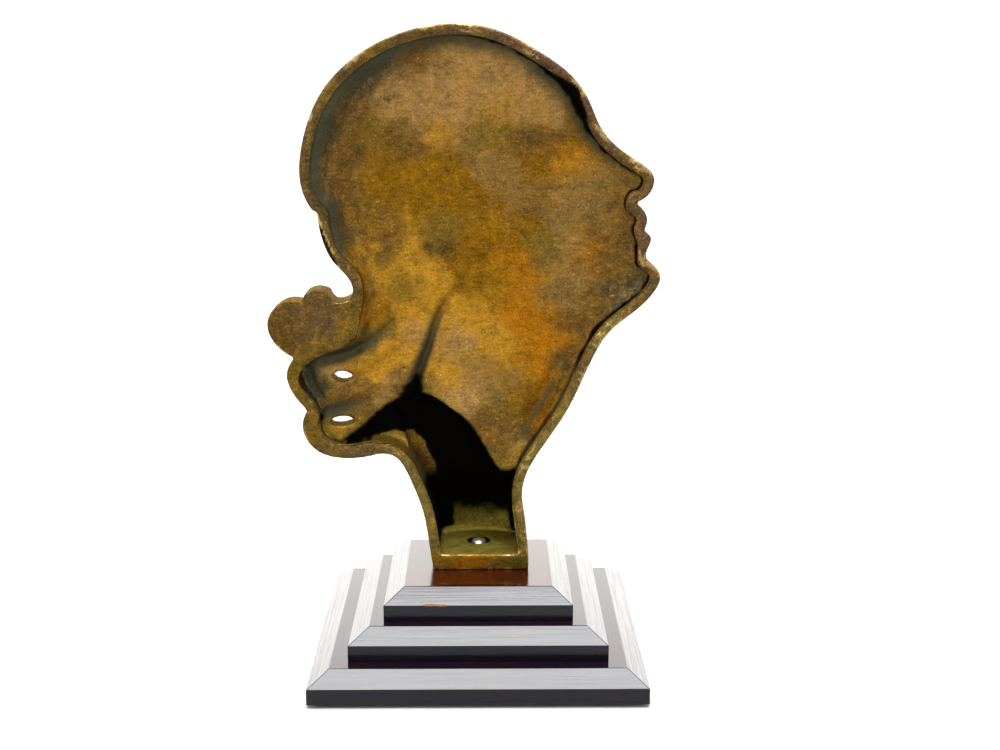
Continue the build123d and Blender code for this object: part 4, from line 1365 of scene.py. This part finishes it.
    def _rim_shade(self, x: Array, v: Array, depth: Array, normals: Array) -> Array:
        """The painted shadow in the corner under the rim: a dark line, broad behind the brow.

        Args:
            x: across the drawing.
            v: up the drawing.
            depth: behind the rim.
            normals: at the points.

        Returns:
            The blackness, 0 to 1.
        """
        wedge = Touch(31, 150, 11, 1.0).over(x, v)
        reach = 0.8 + 1.4 * wedge + self._hand(x, v, 4, 0.5)
        shade = np.exp(-(self.wall / np.maximum(reach, 0.4)) ** 2)
        shade = shade * smooth_step(depth, 0.7 - 0.5 * wedge, 2.2 - 1.5 * wedge)
        shade = shade * np.maximum(self.inside, wedge * smooth_step(-normals[:, 1], 0.35, 0.6))
        along = 0.9 * smooth_step(x, -14, 6) * smooth_step(v, 60, 72)
        neck = 0.5 * smooth_step(v, 60, 50) * smooth_step(v, 12, 20) * smooth_step(x, 0, 8)
        return shade * (along + neck)


# ------------------------------------------------------------------------------------------ fixings


@dataclass
class Fixings:
    """The bolt, made anew with its thread, and the washers and screws, which keep their CAD shapes."""

    screws: int = 6
    thread_pitch: float = 1.0 * MM
    thread_depth: float = 0.55 * MM
    bolt_radius: float = 3.0 * MM
    tip_rise: float = 1.1 * MM
    tip_stand: float = 0.5 * MM
    head_height: float = 4.0 * MM
    head_chamfer: float = 0.5 * MM

    def build(self) -> list[Piece]:
        """Makes the bolt and dresses the washers and the screws.

        Returns:
            The bolt and the dressed CAD nodes.
        """
        plated = TurnedSteel().material()
        oiled = TurnedSteel("oiled_spring_steel", (0.16, 0.15, 0.14), (0.05, 0.045, 0.04), 0.4).material()
        plain = TurnedSteel("plain_steel", (0.42, 0.4, 0.37), (0.2, 0.17, 0.13), 0.35).material()
        bolt = self._bolt()
        dress(bolt, TurnedSteel("bolt_steel", (0.9, 0.88, 0.83), (0.6, 0.57, 0.5), 0.28).material())
        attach(bolt, "mascot")
        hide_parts("mounting_bolt")
        finishes = {"flat_washer": plated, "spring_washer": oiled}
        finishes.update({f"wood_screw_{n}": plain for n in range(1, self.screws + 1)})
        for node, material in finishes.items():
            dress(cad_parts[node], material)
        return [bolt, *(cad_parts[node] for node in finishes)]

    def _bolt(self) -> Piece:
        """The hexagon bolt, with its thread's ridges and a domed tip.

        Returns:
            The piece.
        """
        low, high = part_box("mounting_bolt")
        middle = (low + high) / 2
        flats = min(high.x - low.x, high.y - low.y)
        corner = flats / (2 * cos(pi / 6))
        bpy.ops.mesh.primitive_cylinder_add(vertices=6, radius=corner, depth=self.head_height,
                                            location=(middle.x, middle.y, low.z + self.head_height / 2),
                                            rotation=(0, 0, pi / 6))
        head = named_primitive("bolt_head")
        settle(head)
        apply_modifier(head, "BEVEL", width=self.head_chamfer, segments=2, limit_method="ANGLE",
                       angle_limit=radians(40))
        shank = self._shank(middle, low.z + self.head_height, high.z + self.tip_stand)
        bpy.ops.object.select_all(action="DESELECT")
        head.select_set(True)
        shank.select_set(True)
        bpy.context.view_layer.objects.active = shank
        bpy.ops.object.join()
        shank.name = "hexagon_bolt"
        pick_only(shank)
        bpy.ops.object.shade_smooth_by_angle(angle=radians(35))
        return shank

    def _shank(self, middle: Vector, bottom: float, top: float) -> Piece:
        """The bolt's threaded shank, spun from its profile.

        Args:
            middle: a point on its axis.
            bottom: the height where it leaves the head.
            top: the height where its tip begins to dome.

        Returns:
            The shank.
        """
        crest, root = self.bolt_radius, self.bolt_radius - self.thread_depth
        profile = [(0.0, bottom), (crest, bottom)]
        z = bottom + self.thread_pitch
        while z < top - self.thread_pitch:
            profile += [(crest, z), (root, z + 0.45 * self.thread_pitch)]
            profile.append((crest, z + 0.9 * self.thread_pitch))
            z += self.thread_pitch
        for step in range(6):
            angle = step / 5 * pi / 2
            profile.append((root * cos(angle), top + self.tip_rise * sin(angle)))
        mesh = bpy.data.meshes.new("bolt_shank")
        mesh.from_pydata([(middle.x + radius, middle.y, z) for radius, z in profile],
                         [(n, n + 1) for n in range(len(profile) - 1)], [])
        shank = bpy.data.objects.new("bolt_shank", mesh)
        bpy.context.scene.collection.objects.link(shank)
        pick_only(shank)
        bpy.ops.object.mode_set(mode="EDIT")
        bpy.ops.mesh.select_all(action="SELECT")
        bpy.ops.mesh.spin(steps=40, angle=2 * pi, center=(middle.x, middle.y, 0), axis=(0, 0, 1))
        bpy.ops.mesh.select_all(action="SELECT")
        bpy.ops.mesh.remove_doubles(threshold=WELD)
        bpy.ops.mesh.normals_make_consistent(inside=False)
        bpy.ops.object.mode_set(mode="OBJECT")
        return shank


# ------------------------------------------------------------------------------------------ the plinth


@dataclass
class Plinth:
    """Three square tiers with mitred bevels, and felt under the lowest."""

    edge_radius: float = 0.2 * MM
    tiers: tuple[str, ...] = ("bottom_tier", "middle_tier", "top_tier")
    edge_share: float = 4.9 / 9.0
    bevel_run: float = 6.2 * MM
    bore_radius: float = 3.4 * MM
    felt_thickness: float = 1.0 * MM
    felt_corner: float = 3.0 * MM
    spanner_room: float = 3.0 * MM

    def build(self) -> list[Piece]:
        """Builds the tiers and the felt.

        Returns:
            The pieces.
        """
        lacquer = EbonisedLacquer().material()
        pieces = []
        for node in self.tiers:
            piece = self._tier(node)
            dress(piece, lacquer)
            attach(piece, "plinth")
            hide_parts(node)
            pieces.append(piece)
        pieces.append(self._felt())
        return pieces

    def _tier(self, node: str) -> Piece:
        """One tier: a slab whose top is drawn in to a mitred bevel, bored for the bolt.

        Args:
            node: the CAD tier it stands for.

        Returns:
            The piece.
        """
        low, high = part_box(node)
        width = high.x - low.x
        edge_height = (high.z - low.z) * self.edge_share
        bpy.ops.mesh.primitive_cube_add(size=1, location=(0, 0, low.z + edge_height / 2),
                                        scale=(width, width, edge_height))
        piece = named_primitive(node.replace("tier", "step"))
        settle(piece)
        bpy.ops.object.mode_set(mode="EDIT")
        bpy.ops.mesh.select_all(action="DESELECT")
        work = bmesh.from_edit_mesh(piece.data)
        work.select_mode = {"FACE"}
        for face in work.faces:
            face.select_set(face.normal.z > 0.9)
        bmesh.update_edit_mesh(piece.data)
        shrink = (width - 2 * self.bevel_run) / width
        rise = high.z - low.z - edge_height
        bpy.ops.mesh.extrude_region_move(TRANSFORM_OT_translate={"value": (0, 0, rise)})
        bpy.ops.transform.resize(value=(shrink, shrink, 1), center_override=(0, 0, high.z))
        bpy.ops.object.mode_set(mode="OBJECT")
        self._bore(piece, node)
        pick_only(piece)
        bpy.ops.object.shade_smooth()
        apply_modifier(piece, "BEVEL", width=self.edge_radius, segments=3, limit_method="ANGLE",
                       angle_limit=radians(20), use_clamp_overlap=True, harden_normals=True)
        return piece

    def _bore(self, piece: Piece, node: str) -> None:
        """Bores the tier for the bolt, wide in the bottom tier for the spanner.

        Args:
            piece: the tier.
            node: its CAD node.
        """
        bolt_low, bolt_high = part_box("mounting_bolt")
        middle = (bolt_low + bolt_high) / 2
        washer_low, washer_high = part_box("flat_washer")
        radius = self.bore_radius
        if node == "bottom_tier":
            radius = (washer_high.x - washer_low.x) / 2 + self.spanner_room
        bpy.ops.mesh.primitive_cylinder_add(vertices=48, radius=radius, depth=0.1,
                                            location=(middle.x, middle.y, 0.02))
        cutter = named_primitive("bore_cutter")
        apply_modifier(piece, "BOOLEAN", operation="DIFFERENCE", solver="EXACT", object=cutter)
        bpy.data.objects.remove(cutter)

    def _felt(self) -> Piece:
        """The felt: a sheet with rounded corners, glued flat under the bottom tier.

        Returns:
            The piece.
        """
        low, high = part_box("felt")
        width = high.x - low.x
        bpy.ops.mesh.primitive_grid_add(x_subdivisions=24, y_subdivisions=24, size=width,
                                        location=(0, 0, (low.z + high.z) / 2))
        piece = named_primitive("felt_pad")
        settle(piece)
        bpy.ops.object.mode_set(mode="EDIT")
        bpy.ops.mesh.select_all(action="DESELECT")
        work = bmesh.from_edit_mesh(piece.data)
        for corner in work.verts:
            corner.select_set(min(abs(corner.co.x), abs(corner.co.y)) > width / 2 - 1e-5)
        bmesh.update_edit_mesh(piece.data)
        bpy.ops.mesh.bevel(offset=self.felt_corner, segments=6, affect="VERTICES")
        bpy.ops.object.mode_set(mode="OBJECT")
        apply_modifier(piece, "SOLIDIFY", thickness=self.felt_thickness, offset=0)
        dress(piece, WoolFelt().material())
        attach(piece, "plinth")
        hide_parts("felt")
        return piece


# ------------------------------------------------------------------------------------------ the studio


@dataclass
class Studio:
    """A pale floor, soft white light all round and a broad softbox above."""

    eye: tuple[float, float, float] = (2.33 * MM, -469.45 * MM, 191.94 * MM)
    pitch: float = 12.231
    yaw: float = 0.457
    lens: float = 54.53
    shift: float = 0.0027

    def build(self) -> None:
        """Builds the floor, the lights, the surroundings and the camera."""
        self._floor()
        self._surroundings()
        self._softbox("overhead_softbox", (0, 0.02, 1.1), (0, 0.02, 0), (0.6, 0.9), 36)
        self._softbox("back_panel", (0, 1.7, 0.35), (0, 0, 0.1), (2.6, 0.9), 22, (1.0, 0.96, 0.91))
        self._softbox("left_softbox", (-1.0, -0.5, 0.75), (0, 0, 0.12), (0.8, 0.8), 3)
        self._softbox("right_softbox", (1.1, -0.35, 0.6), (0, 0, 0.12), (0.7, 0.9), 2)
        self._camera()

    @staticmethod
    def _floor() -> None:
        """A wide pale floor under the plinth."""
        bpy.ops.mesh.primitive_circle_add(vertices=96, radius=0.55, fill_type="NGON", location=(0, 0, 0))
        floor = named_primitive("floor")
        r = Recipe("pale_floor")
        shade = r.mix(r.noise(400, 2, 0.5), (0.37, 0.37, 0.37), (0.39, 0.39, 0.39))
        dress(floor, r.finish(Base_Color=shade, Roughness=0.9))

    @staticmethod
    def _surroundings() -> None:
        """Even white surroundings."""
        world = bpy.data.worlds.new("white_studio")
        bpy.context.scene.world = world
        world.use_nodes = True
        background = world.node_tree.nodes["Background"]
        background.inputs["Color"].default_value = (1.0, 1.0, 1.0, 1.0)
        background.inputs["Strength"].default_value = 1.3

    @staticmethod
    def _softbox(name: str, place: Sequence[float], aim: Sequence[float], size: Spot, power: float,
                 colour: Colour = (1.0, 1.0, 1.0)) -> None:
        """One rectangular soft light.

        Args:
            name: the light's name.
            place: where it hangs.
            aim: the point it faces.
            size: its width and height.
            power: in watts.
            colour: of its light.
        """
        light = bpy.data.lights.new(name, "AREA")
        light.color = colour
        light.shape = "RECTANGLE"
        light.size, light.size_y = size
        light.energy = power
        holder = bpy.data.objects.new(name, light)
        bpy.context.scene.collection.objects.link(holder)
        direction = Vector(aim) - Vector(place)
        turned = direction.to_track_quat("-Z", "Y").to_matrix().to_4x4()
        holder.matrix_world = Matrix.Translation(place) @ turned

    def _camera(self) -> None:
        """The camera, a little above the head and looking down at the hollow back."""
        camera = bpy.data.cameras.new("camera")
        camera.lens = self.lens
        camera.sensor_width = 36
        camera.shift_x = self.shift
        camera.clip_start = 0.01
        holder = bpy.data.objects.new("camera", camera)
        bpy.context.scene.collection.objects.link(holder)
        holder.location = self.eye
        holder.rotation_euler = (radians(90 - self.pitch), 0, radians(-self.yaw))
        bpy.context.scene.camera = holder


def main() -> None:
    """Builds each part of the scene in order."""
    logging.basicConfig(level=logging.INFO, format="%(message)s")
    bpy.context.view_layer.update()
    bpy.context.scene.view_settings.view_transform = "Standard"
    casting = HeadCasting().build()
    log.info("%s: %d faces", casting.name, len(casting.data.polygons))
    for piece in Fixings().build() + Plinth().build():
        log.info("%s: %d faces", piece.name, len(piece.data.polygons))
    Studio().build()


if __name__ == "__main__":
    main()
